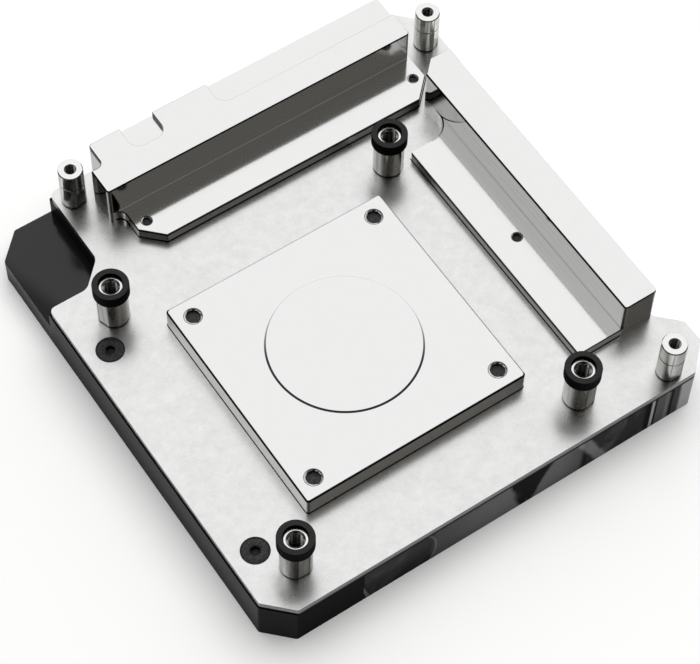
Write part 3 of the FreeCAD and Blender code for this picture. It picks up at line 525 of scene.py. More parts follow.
class BlockWalls:
    """Distances out from the block's walls in millimetres, and masks of the stretches where
    they count. A round's distance is its radius less the distance from its middle."""

    def __init__(self, x, y):
        corner = PEDESTAL_HALF - PEDESTAL_CORNER
        side, end = ((abs(part) - corner).above(0.0) for part in (x, y))
        self.pedestal = away_from(side, end) - PEDESTAL_CORNER
        self.pedestal_front = -PEDESTAL_HALF - y
        rims = [1 - abs(part).ramp(PEDESTAL_HALF + 0.1, PEDESTAL_HALF + 0.2) for part in (x, y)]
        self.on_pedestal = rims[0] * rims[1]

        left_cut = (LEFT_SHELF_LEFT + LEFT_SHELF_FRONT + SHELF_CUT - x - y) * SLANT
        right_cut = (x - y - (LEFT_BAR_RIGHT - SHELF_CUT - LEFT_SHELF_FRONT)) * SLANT
        outer = (LEFT_SHELF_FRONT - y).above(LEFT_SHELF_LEFT - x)
        self.left_shelf = outer.above(left_cut).above(right_cut)
        middle_x, middle_y = LEFT_SHELF_LEFT - HOOK_RADIUS, LEFT_WALL - HOOK_RADIUS
        past_middle = y.ramp(middle_y - 0.05, middle_y + 0.05)
        self.by_left = y.ramp(LEFT_SHELF_FRONT - 1.45, LEFT_SHELF_FRONT - 1.25) * (1 - past_middle)
        self.hook = HOOK_RADIUS - away_from(x, y, (middle_x, middle_y))
        self.in_hook = x.ramp(middle_x - 0.05, middle_x + 0.05) * past_middle
        self.in_hook = self.in_hook * (1 - y.ramp(LEFT_WALL - 0.05, LEFT_WALL))
        self.in_hook = self.in_hook * (1 - x.ramp(LEFT_SHELF_LEFT + 0.4, LEFT_SHELF_LEFT + 0.5))

        self.right_shelf = RIGHT_SHELF_LEFT - x
        self.by_right = y.ramp(RIGHT_END - 0.15, RIGHT_END - 0.1)
        self.by_right = self.by_right * (1 - y.ramp(RIGHT_SHELF_BACK, RIGHT_SHELF_BACK + 0.05))
        self.right_front = RIGHT_END - y
        self.by_front = x.ramp(RIGHT_SHELF_LEFT - 0.05, RIGHT_SHELF_LEFT)
        self.by_front = self.by_front * (1 - x.ramp(RIGHT_WALL - 0.1, RIGHT_WALL))
        middle_x, middle_y = RIGHT_WALL - BEND_RADIUS, RIGHT_SHELF_BACK + BEND_RADIUS
        self.bend = BEND_RADIUS - away_from(x, y, (middle_x, middle_y))
        self.in_bend = y.ramp(RIGHT_SHELF_BACK - 0.25, RIGHT_SHELF_BACK - 0.15)
        self.in_bend = self.in_bend * x.ramp(middle_x, middle_x + 0.1)
        self.in_bend = self.in_bend * (1 - y.ramp(middle_y + 0.35, middle_y + 1.35))


def painted_edge_and_foot_shade(x, y, z, walls):
    """Painted dark reflections on the block's broken edges and painted contact shadows at its walls'
    feet.
    """
    off_front, off_left = (part.ramp(0.75 - PEDESTAL_HALF, 1.05 - PEDESTAL_HALF) for part in (y, x))
    far_sides = off_front * off_left
    bend_fade = walls.in_bend * (0.4 + x.ramp(RIGHT_WALL - 3.9, RIGHT_WALL - 0.9) * 0.6)
    with_foot = (
        (walls.pedestal, PEDESTAL_TOP, 0.4, 0.4, 1 - far_sides * 0.8),
        (walls.left_shelf, LEFT_SHELF_TOP, 0.25, 0.55, walls.by_left),
        (walls.hook, LEFT_SHELF_TOP, 0.2, 0.3, walls.in_hook),
        (walls.right_shelf, RIGHT_SHELF_TOP, 0.3, 0.5, walls.by_right),
        (walls.right_front, RIGHT_SHELF_TOP, 0.2, 0.3, walls.by_front),
    )
    without_foot = (
        (LEFT_WALL - y, LEFT_BAR_TOP, 0.25, 0.35, x.band(LEFT_END - 0.15, LEFT_BAR_RIGHT + 0.1)),
        (LEFT_END - x, LEFT_BAR_TOP, 0.25, 0.5, y.band(LEFT_WALL - 0.05, LEFT_STEP + 0.1)),
        (RIGHT_WALL - x, RIGHT_BAR_TOP, 0.3, 0.5, y.band(RIGHT_END - 0.05, RIGHT_BACK + 0.1)),
        (RIGHT_END - y, RIGHT_BAR_TOP, 0.2, 0.35, x.band(RIGHT_WALL - 0.1, RIGHT_OUTER + 0.15)),
        (walls.bend, RIGHT_SHELF_TOP, 0.35, 0.4, bend_fade),
    )
    lines = [edge_line(z, away, level, over, down) * stretch
             for away, level, over, down, stretch in (*with_foot, *without_foot)]
    lines += [foot_shadow(z, away) * stretch for away, _, _, _, stretch in with_foot]
    dark = lines[0]
    for line in lines[1:]:
        dark = dark.above(line)
    return dark


def painted_step_and_edge_shade(x, y, z, raised, walls):
    """Painted shade along small steps and edges of the polished faces: the disc's rim, thick on its
    near side, the two recesses in the left bar and the mouths of the holes."""
    away = away_from(x, y)
    near = ((x * -0.55 - y * 0.83) / DISC_LINE).ramp(-0.7, 0.3)
    on_disc = z.ramp(PEDESTAL_TOP - 0.1, PEDESTAL_TOP - 0.05) * walls.on_pedestal
    outer = (away - near * 0.36).ramp(DISC_LINE + 0.08, DISC_LINE + 0.16)
    ring = away.ramp(DISC_LINE - 0.06, DISC_LINE) * (1 - outer)
    lines = ring * on_disc * (0.25 + near * 0.7)
    recess_floor = LEFT_BAR_TOP - RECESS_DEPTH
    on_top = z.ramp(recess_floor - 0.3, recess_floor - 0.1)
    for left, right in RECESSES:
        recess = box_line(x, y, left, right, RECESS_FRONT, RECESS_CORNER, 0.12)
        lines = lines + recess * on_top * 0.3
    mouths = ring_mask(x, y, PEDESTAL_HOLES, PEDESTAL_BORE - 0.045, PEDESTAL_BORE + 0.155, 0.04)
    mouths = mouths + ring_mask(x, y, SHELF_HOLES, SHELF_BORE - 0.045, SHELF_BORE + 0.125, 0.04)
    return lines + mouths * raised * 0.75


def wall_shades(x, y, z, walls):
    """Masks of the block's walls, each with the share of colour that its painted shade takes away.
    """
    in_front = x.ramp(LEFT_SIDE + 0.35, LEFT_SIDE + 0.45)
    rim = z.band(PLATE_TOP - 2.2, PLATE_TOP - 0.02)
    lip = z.band(PLATE_TOP - 0.5, PLATE_TOP - 0.02) * in_front
    foot = PLATE_TOP + 0.02
    pedestal = z.band(foot, PEDESTAL_TOP - 0.02) * walls.pedestal_front.band(-0.1, 0.12)
    left_shelf = z.band(foot, LEFT_SHELF_TOP - 0.02) * walls.left_shelf.band(-0.1, 0.1)
    right_shelf = z.band(foot, RIGHT_SHELF_TOP - 0.02) * walls.right_shelf.band(-0.1, 0.1)
    recess = z.band(LEFT_BAR_TOP - RECESS_DEPTH + 0.02, LEFT_BAR_TOP - 0.02)
    recess = recess * y.ramp(RECESS_FRONT - 0.2, RECESS_FRONT - 0.1)
    right_end = z.band(foot, RIGHT_BAR_TOP - 0.1) * y.band(RIGHT_END - 0.15, RIGHT_END + 0.1)
    to_left_top = z.band(foot, LEFT_BAR_TOP - 0.1)
    left_end = to_left_top * x.band(LEFT_END - 0.15, LEFT_END + 0.1)
    set_back = to_left_top * x.band(LEFT_SHELF_LEFT - 0.3, LEFT_SHELF_LEFT)

    # Painted dark reflection in a bow at the left end of the left bar's wall: the inside of an
    # upright ellipse
    ellipse = ((x - LEFT_END + 0.95) / 3.2) ** 2.0 + ((z - PLATE_TOP - 5.0) / 8.0) ** 2.0
    bowed_reflection = (1 - ellipse.ramp(0.9, 1.0)) * z.ramp(LEFT_SHELF_TOP, LEFT_SHELF_TOP + 0.2)
    bowed_reflection = bowed_reflection * x.ramp(LEFT_END + 0.85, LEFT_END + 1.05)
    bowed_reflection = bowed_reflection * y.band(LEFT_WALL - 0.15, LEFT_WALL + 0.15)
    # Painted shade greys the walls, darkens the plate's rim and nearly blackens the recess walls
    return (
        (rim, 0.5 + in_front * 0.2),
        (lip, 0.35),
        (pedestal * walls.on_pedestal, 0.22),
        (left_shelf * walls.by_left, 0.3),
        (right_shelf * walls.by_right, 0.6),
        (recess, 0.97),
        (right_end * x.ramp(RIGHT_WALL + 0.05, RIGHT_WALL + 0.15), 0.5),
        (left_end * y.ramp(LEFT_WALL + 0.65, LEFT_WALL + 0.85), 0.6),
        (set_back * y.ramp(LEFT_STEP + 0.1, LEFT_STEP + 1.1), 0.3),
        (bowed_reflection, 0.95),
    )


def nickel_block(finishes):
    """Machined base: fine satin on the plate, near-mirror on pedestal, bars and shelves, sides
    greyed by painted shade, painted shade in dark lines where pieces meet and painted dark
    reflections where edges are broken."""
    shader = Finish("nickel_block")
    spot, (x, y, z) = shader.place()
    raised = z.ramp(PLATE_TOP + 0.05, PLATE_TOP + 0.15)
    satin = 1 - raised
    grain = shader.noise(spot, 2400.0, 2.0)
    cloud = shader.noise(spot, 380.0, 5.0, roughness=0.7)
    rings = shader.noise(spot, 1.0, 2.0, stretch=(12.0, 12.0, 1500.0))
    walls = BlockWalls(x, y)

    left_wall = z.band(LEFT_SHELF_TOP + 0.25, LEFT_BAR_TOP - 0.1)
    left_wall = left_wall * y.band(LEFT_WALL - 0.35, LEFT_WALL + 0.35)
    right_wall = z.band(RIGHT_SHELF_TOP + 0.05, RIGHT_BAR_TOP - 0.1)
    right_wall = right_wall * (1 - y.ramp(RIGHT_BACK - 4.1, RIGHT_BACK - 3.9))
    right_wall = right_wall * x.band(RIGHT_WALL - 0.3, RIGHT_WALL + 0.4)
    shelf_edge = right_wall * z.band(RIGHT_SHELF_TOP, RIGHT_SHELF_TOP + 0.4)
    tool_marks = (left_wall + right_wall) * rings.ramp(0.45, 0.7)
    # Painted shade greys the bar walls and darkens the right wall's foot on its shelf, and tool
    # marks darken the walls
    shades = ((left_wall, 0.34), (right_wall, 0.2), (tool_marks, 0.1), (shelf_edge, 0.4))

    gain = satin * (0.73 + grain * 0.12 + cloud * 0.34) + raised * (0.97 + cloud * 0.04)
    for mask, taken in (*wall_shades(x, y, z, walls), *shades):
        gain = gain * (1 - mask * taken)
    # Painted shade along the seam under the plate's rim, joined to the painted edge reflections and
    # contact shadows
    seam = 1 - z.ramp(PLATE_TOP - 1.6, PLATE_TOP - 1.5)
    edges = painted_edge_and_foot_shade(x, y, z, walls).above(seam) * 0.97
    gain = gain * (1 - edges.above(painted_step_and_edge_shade(x, y, z, raised, walls)))
    shader.set("Base Color", shader.tone(finishes.nickel, gain))
    shader.set("Metallic", 1.0)
    shader.set("Roughness", (finishes.satin + cloud * 0.06) * satin + finishes.polish * raised)
    shader.set("Specular Tint", EDGE_TINT)
    return shader.material


def turned_nickel(finishes):
    """Plated turned posts with fine tool rings and upper ends lightened by a painted highlight.
    Painted dark reflections on the ends of the wrench flats and painted shade at the foot and in the
    thread grooves, where the mesh's shade says so."""
    shader = Finish("turned_nickel")
    spot, (_, _, z) = shader.place()
    shade = shader.mesh_shade()
    rings = shader.noise(spot, 900.0, 2.0, stretch=(0.02, 0.02, 4.0))
    stain = shader.noise(spot, 500.0, 4.0, stretch=(1.0, 1.0, 0.5), roughness=0.7)
    streak = shader.noise(spot, 800.0, 2.0, stretch=(1.0, 1.0, 0.06)).ramp(0.3, 0.7)
    # Painted highlight: the upper ends are lighter than the bodies, and the mesh's painted shade
    # darkens the rest
    end = z.ramp(PLATE_TOP + 11.55, PLATE_TOP + 11.65)
    body = 0.4 + stain * 0.45 + streak * 0.5 + rings * 0.1
    gain = (body * (1 - end) + 1.2 * end) * (1 - shade * 0.97)
    shader.set("Base Color", shader.tone(finishes.nickel_dark, gain))
    shader.set("Metallic", 1.0)
    shader.set("Specular Tint", EDGE_TINT)
    shader.set("Roughness", 0.1 + stain * 0.2)
    shader.bump(rings, 0.00001, 0.3)
    return shader.material


def collar_rubber(finishes):
    """Matt black collars, darker round their sides, underside and inner bevel by painted shade."""
    shader = Finish("collar_rubber")
    spot, _ = shader.place()
    shade = shader.mesh_shade()
    grain = shader.noise(spot, 2600.0, 3.0)
    # Painted shade from the mesh darkens the sides, underside and inner bevel
    shader.set("Base Color", shader.tone(finishes.rubber, (0.7 + grain * 0.6) * (1 - shade)))
    shader.set("Roughness", 0.55 + grain * 0.16)
    shader.set("Specular IOR Level", 0.03)
    shader.bump(grain, 0.00001, 0.4)
    return shader.material


def black_steel(finishes):
    """Blackened screws with faint turning marks, and painted shade where the mesh's shade says so.
    """
    shader = Finish("black_steel")
    spot, _ = shader.place()
    shade = shader.mesh_shade()
    grain = shader.noise(spot, 2300.0, 3.0, roughness=0.7)
    # Painted shade from the mesh darkens the heads' edges, rim grooves and sockets
    gain = (0.2 + grain.ramp(0.3, 0.75) * 1.6) * (1 - shade)
    shader.set("Base Color", shader.tone(finishes.oxide, gain))
    shader.set("Metallic", 0.35)
    shader.set("Roughness", 0.38 + grain * 0.2)
    shader.bump(grain, 0.00003, 0.5)
    return shader.material


def cover_plastic(finishes):
    """Black side cover: a coat on its tab and along the left side whose weight paints a sheen,
    fading towards its foot, and matt black in front."""
    shader = Finish("cover_plastic")
    spot, (x, y, z) = shader.place()
    grain = shader.noise(spot, 1500.0, 3.0)
    cloud = shader.noise(spot, 45.0, 2.0)
    tab = z.band(TAB_TOP - 0.04, TAB_TOP + 0.04, 0.01) * y.ramp(TAB_FRONT, TAB_FRONT + 0.1)
    tab = tab * x.ramp(LEFT_SIDE + 0.1, LEFT_SIDE + 0.2)
    tab = tab * (1 - (y - x).ramp(TAB_CORNER, TAB_CORNER + 0.1))
    # Painted sheen: the coat grows across the tab, and up and along the left side
    tab = tab * (0.3 + (x + y * 0.3).ramp(-33.0, -27.0) * 0.6)
    side = (1 - x.ramp(LEFT_SIDE + 0.1, LEFT_SIDE + 0.15)) * (0.05 + z.ramp(0.5, 10.0) * 0.12)
    side = side * (1 + y.ramp(TAB_FRONT - 2.4, TAB_FRONT + 1.6) * 1.1)
    behind = y.ramp(FRONT_SIDE + 0.02, FRONT_SIDE + 0.1)
    shader.set("Base Color", shader.tone(finishes.plastic, 0.8 + cloud * 0.4))
    shader.set("Roughness", 0.6 + grain * 0.1)
    shader.set("Specular IOR Level", 0.03)
    shader.set("Coat Weight", tab + side + behind * 0.08)
    shader.set("Coat Roughness", 0.14)
    shader.bump(grain, 0.000008, 0.2)
    return shader.material


def clear_plastic(finishes):
    """Clear top that reads dark, its colour a painted view through it with painted reflections.
    Along its front, from left to right: a dark grey with wisps and one curved light line, an even
    grey, dark blots that lean both ways, the grey again, a slanting wisp, dark grey, and a paler
    end with upright streaks."""
    shader = Finish("clear_plastic")
    spot, (x, _, z) = shader.place()
    wave = (shader.noise(spot, 130.0, 3.0) - 0.5) * 5.0
    wisp = shader.noise(spot, 150.0, 5.0, stretch=(1.0, 1.0, 0.5), distortion=1.4).ramp(0.45, 0.7)
    arc = away_from(x, z * 0.6, (-11.55, 3.36)).band(4.0, 4.7, 0.25) * x.ramp(-11.0, -9.5)
    blot = (x + z * 0.25 + wave).ramp(15.0, 16.4) * (1 - (x - z * 0.28 + wave).ramp(19.2, 20.8))
    even = x.ramp(-9.0, -7.0) * (1 - x.ramp(31.5, 33.5)) * (1 - blot)
    # Painted view through the plastic and its reflections: each patch with its gain
    patches = (
        (x.band(-27.0, -7.5, 1.5), 0.05 + z.ramp(1.0, 10.0) * 0.14 + wisp * 0.12),
        ((x + z * 0.3).band(-25.4, -24.3, 0.3), 0.6),
        (arc, 0.35),
        (even, 0.4 + x.ramp(-8.0, 11.0) * 0.34 - x.ramp(26.0, 32.0) * 0.22),
        (blot, 0.02 + wisp * 0.25),
        ((x + z * 0.5 + wave * 0.5).band(36.0, 40.6, 1.4), 0.85),
        (x.band(33.0, 50.5, 1.5), 0.12 + wisp * 0.24),
        (x.band(51.4, 52.6, 0.4), 2.0),
        (x.band(52.8, 57.3, 0.6), 0.48),
        (x.band(55.5, 56.6, 0.3), 0.35),
        (x.band(57.5, 59.7, 0.5), 0.25),
        (x.ramp(59.2, 60.5), 2.2 + z.ramp(9.0, 11.0) * 0.6 + wisp * 0.3),
    )
    light = 0.0
    for patch, level in patches:
        light = patch * level + light
    # Painted shade along the top, under the plate
    light = light * (1 - z.ramp(11.5, 11.75))
    shader.set("Base Color", shader.tone(finishes.smoke, light))
    shader.set("Roughness", 0.5)
    shader.set("Transmission Weight", 0.02)
    shader.set("Specular IOR Level", 0.01)
    return shader.material


def plain_steel(finishes):
    """Slotted jet plate inside the chamber."""
    shader = Finish("plain_steel")
    spot, _ = shader.place()
    grain = shader.noise(spot, 1200.0, 2.0, stretch=(1.0, 0.05, 1.0))
    shader.set("Base Color", shader.tone(finishes.steel, 0.85 + grain * 0.3))
    shader.set("Metallic", 1.0)
    shader.set("Roughness", 0.25 + grain * 0.2)
    return shader.material


def soft_rubber(finishes):
    """Gasket round the chamber."""
    shader = Finish("soft_rubber")
    spot, _ = shader.place()
    grain = shader.noise(spot, 1800.0, 2.0)
    shader.set("Base Color", shader.tone(finishes.gasket, 0.8 + grain * 0.4))
    shader.set("Roughness", 0.6 + grain * 0.1)
    return shader.material


MADE = {}


def finish(maker):
    """The maker's material, made once."""
    if maker not in MADE:
        MADE[maker] = maker(bpy.context.scene.cold_plate_finishes)
    return MADE[maker]


def dress(node, maker):
    """Puts a material on every slot of a CAD node."""
    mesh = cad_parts[node].data
    if not mesh.materials:
        mesh.materials.append(None)
    for index in range(len(mesh.materials)):
        mesh.materials[index] = finish(maker)


def in_mm(group):
    """Every length of a property group in millimetres, angles left in radians."""
    values = {}
    for key in group.__annotations__:
        value = getattr(group, key)
        values[key] = value if key.endswith("turn") else value / MM
    return values


# Pieces

class DressBlock(bpy.types.Operator):
    """Satin and polished nickel on the metal block"""
    bl_idname = "cold_plate.dress_block"
    bl_label = "Dress metal block"

    def execute(self, context):
        dress("cold_base", nickel_block)
        return {"FINISHED"}


class DressManifold(bpy.types.Operator):
    """Clear top, side cover and the parts hidden between them"""
    bl_idname = "cold_plate.dress_manifold"
    bl_label = "Dress manifold"

    def execute(self, context):
        dress("clear_top", clear_plastic)
        dress("side_cover", cover_plastic)
        dress("jet_plate", plain_steel)
        dress("chamber_seal", soft_rubber)
        dress("pedestal_screws", black_steel)
        dress("shelf_screws", black_steel)
        return {"FINISHED"}


class MakeStandoffs(bpy.types.Operator):
    """Four turned posts with wrench flats, necks and threaded mouths"""
    bl_idname = "cold_plate.make_standoffs"
    bl_label = "Make processor standoffs"

    def execute(self, context):
        s = in_mm(context.scene.cold_plate_standoffs)
        for corner in CORNERS:
            node = f"cpu_standoff_{corner}"
            x, y, low, high = cad_spot(node)
            turn = s[f"{corner}_turn"]
            angles, line = ring_angles(turn, s["radius"], s["flat"])
            body = flatted(s["radius"], angles, turn, s["flat"])
            shoulder = low + s["shoulder"]
            edge, neck = s["edge"], s["neck"]
            # The rows carry painted light: a contact shadow at the foot, dark reflections at the
            # flats' ends and shade down the bore
            rows = foot_rows(low, body, edge, line)
            rows += [(body, shoulder - edge, line), (body - edge, shoulder), (neck, shoulder),
                     (neck, high - edge), (neck - edge, high)]
            rows += bore_rows(high, s, angles)
            piece = finish_mesh(f"processor_standoff_{corner}", [turned(rows, angles, x, y)],
                                finish(turned_nickel))
            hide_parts(node)
        return {"FINISHED"}


class MakeCollars(bpy.types.Operator):
    """Four black collars with rounded edges"""
    bl_idname = "cold_plate.make_collars"
    bl_label = "Make collars"

    def execute(self, context):
        s = in_mm(context.scene.cold_plate_collars)
        angles = even_angles()
        bore, bevel, radius, rounding = s["bore"], s["bevel"], s["radius"], s["rounding"]
        for corner in CORNERS:
            node = f"standoff_collar_{corner}"
            x, y, low, high = cad_spot(node)
            # Each row's third number is painted shade: dark underneath, on the side and on the inner
            # bevel, none on top
            rows = [(bore, low, 0.9), (radius - 0.08, low, 0.9), (radius, low + 0.08, 0.88)]
            for rise in np.linspace(0, math.pi / 2, ROUNDING_STEPS):
                out, up = math.cos(rise), math.sin(rise)
                rows.append((radius - rounding * (1 - out), high - rounding * (1 - up), 0.88 * out))
            rows += [(bore + bevel, high), (bore + bevel - 0.01, high - 0.01, 0.9),
                     (bore, high - bevel, 0.9)]
            piece = finish_mesh(f"collar_{corner}", [turned(rows, angles, x, y, loop_rows=True)],
                                finish(collar_rubber))
            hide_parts(node)
        return {"FINISHED"}


class MakePosts(bpy.types.Operator):
    """Three slim board posts with a turned groove and wrench flats"""
    bl_idname = "cold_plate.make_posts"
    bl_label = "Make board posts"

    def execute(self, context):
        s = in_mm(context.scene.cold_plate_posts)
        for place in POSTS:
            node = f"board_standoff_{place}"
            x, y, low, high = cad_spot(node)
            turn = s[f"{place}_turn"]
            angles, line = ring_angles(turn, s["radius"], s["flat"])
            if place == "right":
                # Painted dark reflection on one side of the right post: 0.6 * cos(angle from -1.2
                # radians)
                line = np.maximum(line, 0.6 * np.clip(np.cos(angles + 1.2), 0, 1))
            body = flatted(s["radius"], angles, turn, s["flat"])
            edge, radius = s["edge"], s["radius"]
            flat_top = low + s["flat_height"]
            groove = low + s["groove"]
            groove_top, inner = groove + s["groove_width"], radius - s["groove_depth"]
            rows = foot_rows(low, body, edge / 2, line)
            rows += [(body, flat_top - 0.01, line), (radius, flat_top, line), (radius, groove, line),
                     (inner, groove), (inner, groove_top - 0.05), (radius, groove_top, line),
                     (radius, high - edge, line), (radius - edge, high)]
            rows += bore_rows(high, s, angles)
            piece = finish_mesh(f"board_post_{place}", [turned(rows, angles, x, y)],
                                finish(turned_nickel))
            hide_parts(node)
        return {"FINISHED"}


def hexagon_radius(angles, across):
    """Radius of a hexagon: half across flats / cos(angle from the nearest flat's middle)."""
    sector = TURN / 6
    return across / 2 / np.cos((angles % sector) - sector / 2)


class MakeCoverScrews(bpy.types.Operator):
    """Two flush countersunk screws with hexagon sockets"""
    bl_idname = "cold_plate.make_cover_screws"
    bl_label = "Make cover screws"

    def execute(self, context):
        s = in_mm(context.scene.cold_plate_screws)
        low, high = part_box("cover_screws")
        x = (low.x + high.x) / 2 / MM
        top = high.z / MM
        angles = even_angles()
        socket = hexagon_radius(angles, s["hexagon"])
        head, rim = s["head"], s["rim"]
        cone = head - s["shank"]
        # A row's third number is painted shade: dark round the head's edge, in the rim's groove and
        # down the socket
        rows = [(0.0, top - s["reach"]), (s["shank"], top - s["reach"]), (s["shank"], top - cone),
                (head, top - 0.06, 1.0), (head - 0.06, top, 1.0), (head - 0.17, top - 0.01, 1.0),
                (head - 0.2, top - 0.01), (head - rim, top - 0.01),
                (head - rim - 0.08, top - 0.07, 0.6), (head - rim - 0.2, top - 0.02),
                (socket + 0.35, top - 0.02), (socket + 0.04, top - 0.2, 0.6),
                (socket, top - 0.3, 0.8), (socket, top - s["socket"], 0.8),
                (0.0, top - s["socket"] - 0.3, 0.4)]
        parts = [turned(rows, angles, x, y / MM)
                 for y in (low.y + head * MM, high.y - head * MM)]
        piece = finish_mesh("cover_screw_heads", parts, finish(black_steel))
        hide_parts("cover_screws")
        return {"FINISHED"}


class MakeHoleThreads(bpy.types.Operator):
    """Thread rings above the screw tips in the pedestal and shelf holes"""
    bl_idname = "cold_plate.make_hole_threads"
    bl_label = "Make hole threads"

    def execute(self, context):
        s = in_mm(context.scene.cold_plate_screws)
        angles = even_angles(RING_STEPS)
        depth = s["ring_depth"]
        # The last number of a ring is its least painted shade: none in the pedestal, near black in
        # the shelf holes
        rings = [(*spot, PEDESTAL_TOP, PEDESTAL_BORE, 0.7, depth, 0.0) for spot in PEDESTAL_HOLES]
        shelf_tops = (LEFT_SHELF_TOP, LEFT_SHELF_TOP, RIGHT_SHELF_TOP)
        rings += [(*spot, top, SHELF_BORE, 0.5, depth - 0.2, 0.88)
                  for spot, top in zip(SHELF_HOLES, shelf_tops)]
        parts = []
        for x, y, top, wall, pitch, deep, least_shade in rings:
            crest = wall - s["ring_wall"]
            radii, heights, shades = thread_rows(
                top - 0.12, deep - 0.14, wall - 0.01, crest, pitch, angles)
            rows = [(wall, top - deep), (wall, top - 0.02), (wall - 0.01, top - 0.02)]
            rows += list(zip(radii, heights, np.maximum(shades, least_shade)))
            parts.append(turned(rows, angles, x, y, loop_rows=True))
        finish_mesh("hole_threads", parts, finish(turned_nickel))
        return {"FINISHED"}


# Stage, with places in metres and angles in degrees

# Dark flags: the direction, the angle within which each is full and the one where it ends
FLAGS = (((-0.854, 0.425, 0.30), 24.0, 47.0), ((-0.30, -0.425, 0.854), 12.0, 30.0))
FLAG_SHADE = 0.95
LAMP_SPOT = Vector((0.25, 0.08, 1.4))
LAMP_SIZE = 1.6
FLOOR_REACH = 3.0
FLOOR_LEVEL = -5e-5
CAMERA_SPOT = Vector((-0.16699, -0.23859, 0.50191))
CAMERA_AZIMUTH, CAMERA_ELEVATION, CAMERA_ROLL = -35.212, 58.638, 1.584
PHOTO_WIDTH, FOCAL_PIXELS = 700, 2535.998
SENSOR_WIDTH = 36.0


def place_camera():
    """Camera at the photograph's angle: turned, raised and rolled about its own axis."""
    angles = (CAMERA_AZIMUTH, CAMERA_ELEVATION, CAMERA_ROLL)
    turn, rise, roll = (math.radians(degrees) for degrees in angles)
    level = math.cos(rise)
    back = Vector((math.sin(turn) * level, -math.cos(turn) * level, math.sin(rise)))
    right = Vector((0, 0, 1)).cross(back).normalized()
    up = back.cross(right)
    across = right * math.cos(roll) + up * math.sin(roll)
    above = up * math.cos(roll) - right * math.sin(roll)
    data = bpy.data.cameras.new("photo_camera")
    data.sensor_width = SENSOR_WIDTH
    data.lens = FOCAL_PIXELS / PHOTO_WIDTH * SENSOR_WIDTH
    data.clip_start = 0.01
    camera = bpy.data.objects.new("photo_camera", data)
    camera.matrix_world = Matrix((across, above, back)).transposed().to_4x4()
    camera.location = CAMERA_SPOT
    bpy.context.scene.collection.objects.link(camera)
    bpy.context.scene.camera = camera


def light_world(settings):
    """Soft light: a bright half behind the part and a dim half in front that fades towards
    the floor, with dark flags at the camera and at its left, each full within its inner angle
    and gone beyond its outer angle. Dim light is a little warmer than bright light."""
    world = bpy.data.worlds.new("studio")
    bpy.context.scene.world = world
    world.use_nodes = True
    sky = Shader(world.node_tree)
    aim = sky.add("ShaderNodeTexCoord", output="Generated")
    _, depth, height = sky.split(aim)
    behind = depth.ramp(-0.15, 0.15)
    front = 0.1 * settings.dim + 0.9 * settings.dim * height.ramp(0.4, 0.9)
    level = front + (settings.bright - front) * behind
    for axis, inner, outer in FLAGS:
        aims = [aim, tuple(Vector(axis).normalized())]
        facing = sky.add("ShaderNodeVectorMath", {"operation": "DOT_PRODUCT"}, aims, output="Value")
        full, gone = (math.cos(math.radians(reach)) for reach in (inner, outer))
        level = level * (1 - facing.ramp(gone, full) * FLAG_SHADE)
    background = sky.nodes["Background"]
    sky.plug(background.inputs["Color"], sky.blend(level, (1.0, 0.97, 0.88), (1.0, 1.0, 1.0)))
    sky.plug(background.inputs["Strength"], level)


def hang_lamp(settings):
    """Wide soft box overhead, which gives the floor its shadow and isn't mirrored in
    the metal."""
    light = bpy.data.lights.new("soft_box", "AREA")
    light.energy = settings.lamp
    light.size = LAMP_SIZE
    lamp = bpy.data.objects.new("soft_box", light)
    lamp.location = LAMP_SPOT
    lamp.rotation_euler = LAMP_SPOT.to_track_quat("Z", "Y").to_euler()
    lamp.visible_camera = lamp.visible_glossy = lamp.visible_transmission = False
    bpy.context.scene.collection.objects.link(lamp)


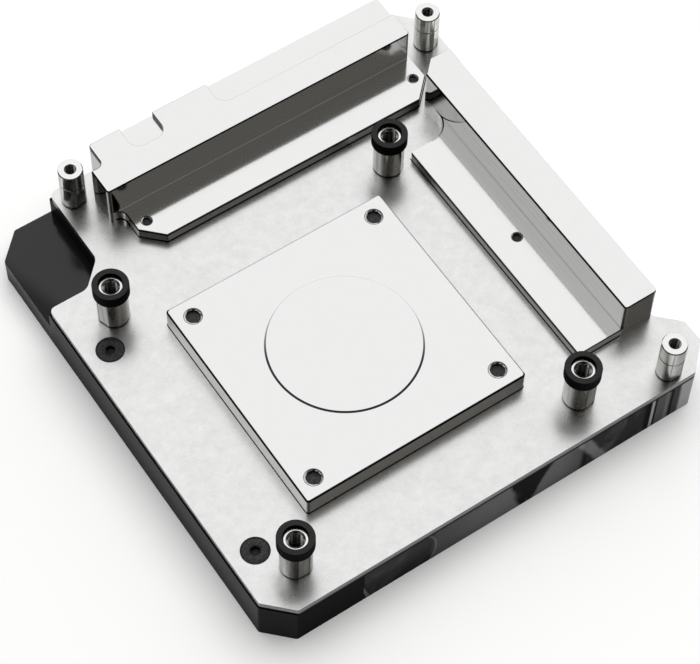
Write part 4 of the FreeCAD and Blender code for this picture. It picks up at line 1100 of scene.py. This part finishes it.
def lay_floor(settings):
    """Pale floor that keeps the shadow and lifts to white for the camera."""
    shader = Finish("floor_paper")
    spot, _ = shader.place()
    cloud = shader.noise(spot, 3.0, 2.0)
    shader.set("Base Color", shader.tone(settings.floor, 0.98 + cloud * 0.04))
    shader.set("Roughness", 0.9)
    camera, glossy, clear = (shader.add("ShaderNodeLightPath", output=f"Is {kind} Ray")
                             for kind in ("Camera", "Glossy", "Transmission"))
    glow = shader.blend(camera + glossy + clear, (0.0, 0.0, 0.0), (1.0, 1.0, 1.0))
    shader.set("Emission Color", glow)
    shader.set("Emission Strength", settings.lift)
    mesh = bpy.data.meshes.new("floor")
    corners = [(side * FLOOR_REACH, end * FLOOR_REACH, FLOOR_LEVEL)
               for side, end in ((-1, -1), (1, -1), (1, 1), (-1, 1))]
    mesh.from_pydata(corners, [], [(0, 1, 2, 3)])
    mesh.materials.append(shader.material)
    floor = bpy.data.objects.new("floor", mesh)
    bpy.context.scene.collection.objects.link(floor)


class SetStage(bpy.types.Operator):
    """Camera at the photograph's angle, pale floor and soft light"""
    bl_idname = "cold_plate.set_stage"
    bl_label = "Set stage"

    def execute(self, context):
        settings = context.scene.cold_plate_stage
        context.scene.view_settings.view_transform = "Standard"
        place_camera()
        light_world(settings)
        hang_lamp(settings)
        lay_floor(settings)
        return {"FINISHED"}


class ColdPlatePanel(bpy.types.Panel):
    """Lists the steps in the 3D view's sidebar"""
    bl_idname = "VIEW3D_PT_cold_plate"
    bl_label = "Cold plate"
    bl_space_type = "VIEW_3D"
    bl_region_type = "UI"
    bl_category = "Cold plate"

    def draw(self, context):
        for step in STEPS:
            self.layout.operator(step.bl_idname)
        for name in GROUPS:
            box = self.layout.box()
            group = getattr(context.scene, name)
            for key in group.__annotations__:
                box.prop(group, key)


STEPS = (SetStage, DressBlock, DressManifold, MakeStandoffs, MakeCollars, MakePosts,
         MakeCoverScrews, MakeHoleThreads)
GROUPS = {
    "cold_plate_standoffs": StandoffSizes,
    "cold_plate_collars": CollarSizes,
    "cold_plate_posts": PostSizes,
    "cold_plate_screws": ScrewSizes,
    "cold_plate_finishes": Finishes,
    "cold_plate_stage": StageSettings,
}


def register():
    for kind in (*GROUPS.values(), *STEPS, ColdPlatePanel):
        bpy.utils.register_class(kind)
    for name, kind in GROUPS.items():
        setattr(bpy.types.Scene, name, PointerProperty(type=kind))


def unregister():
    for name in GROUPS:
        delattr(bpy.types.Scene, name)
    for kind in reversed((*GROUPS.values(), *STEPS, ColdPlatePanel)):
        bpy.utils.unregister_class(kind)


def main():
    register()
    for step in STEPS:
        group, action = step.bl_idname.split(".")
        getattr(getattr(bpy.ops, group), action)()


if __name__ == "__main__":
    main()
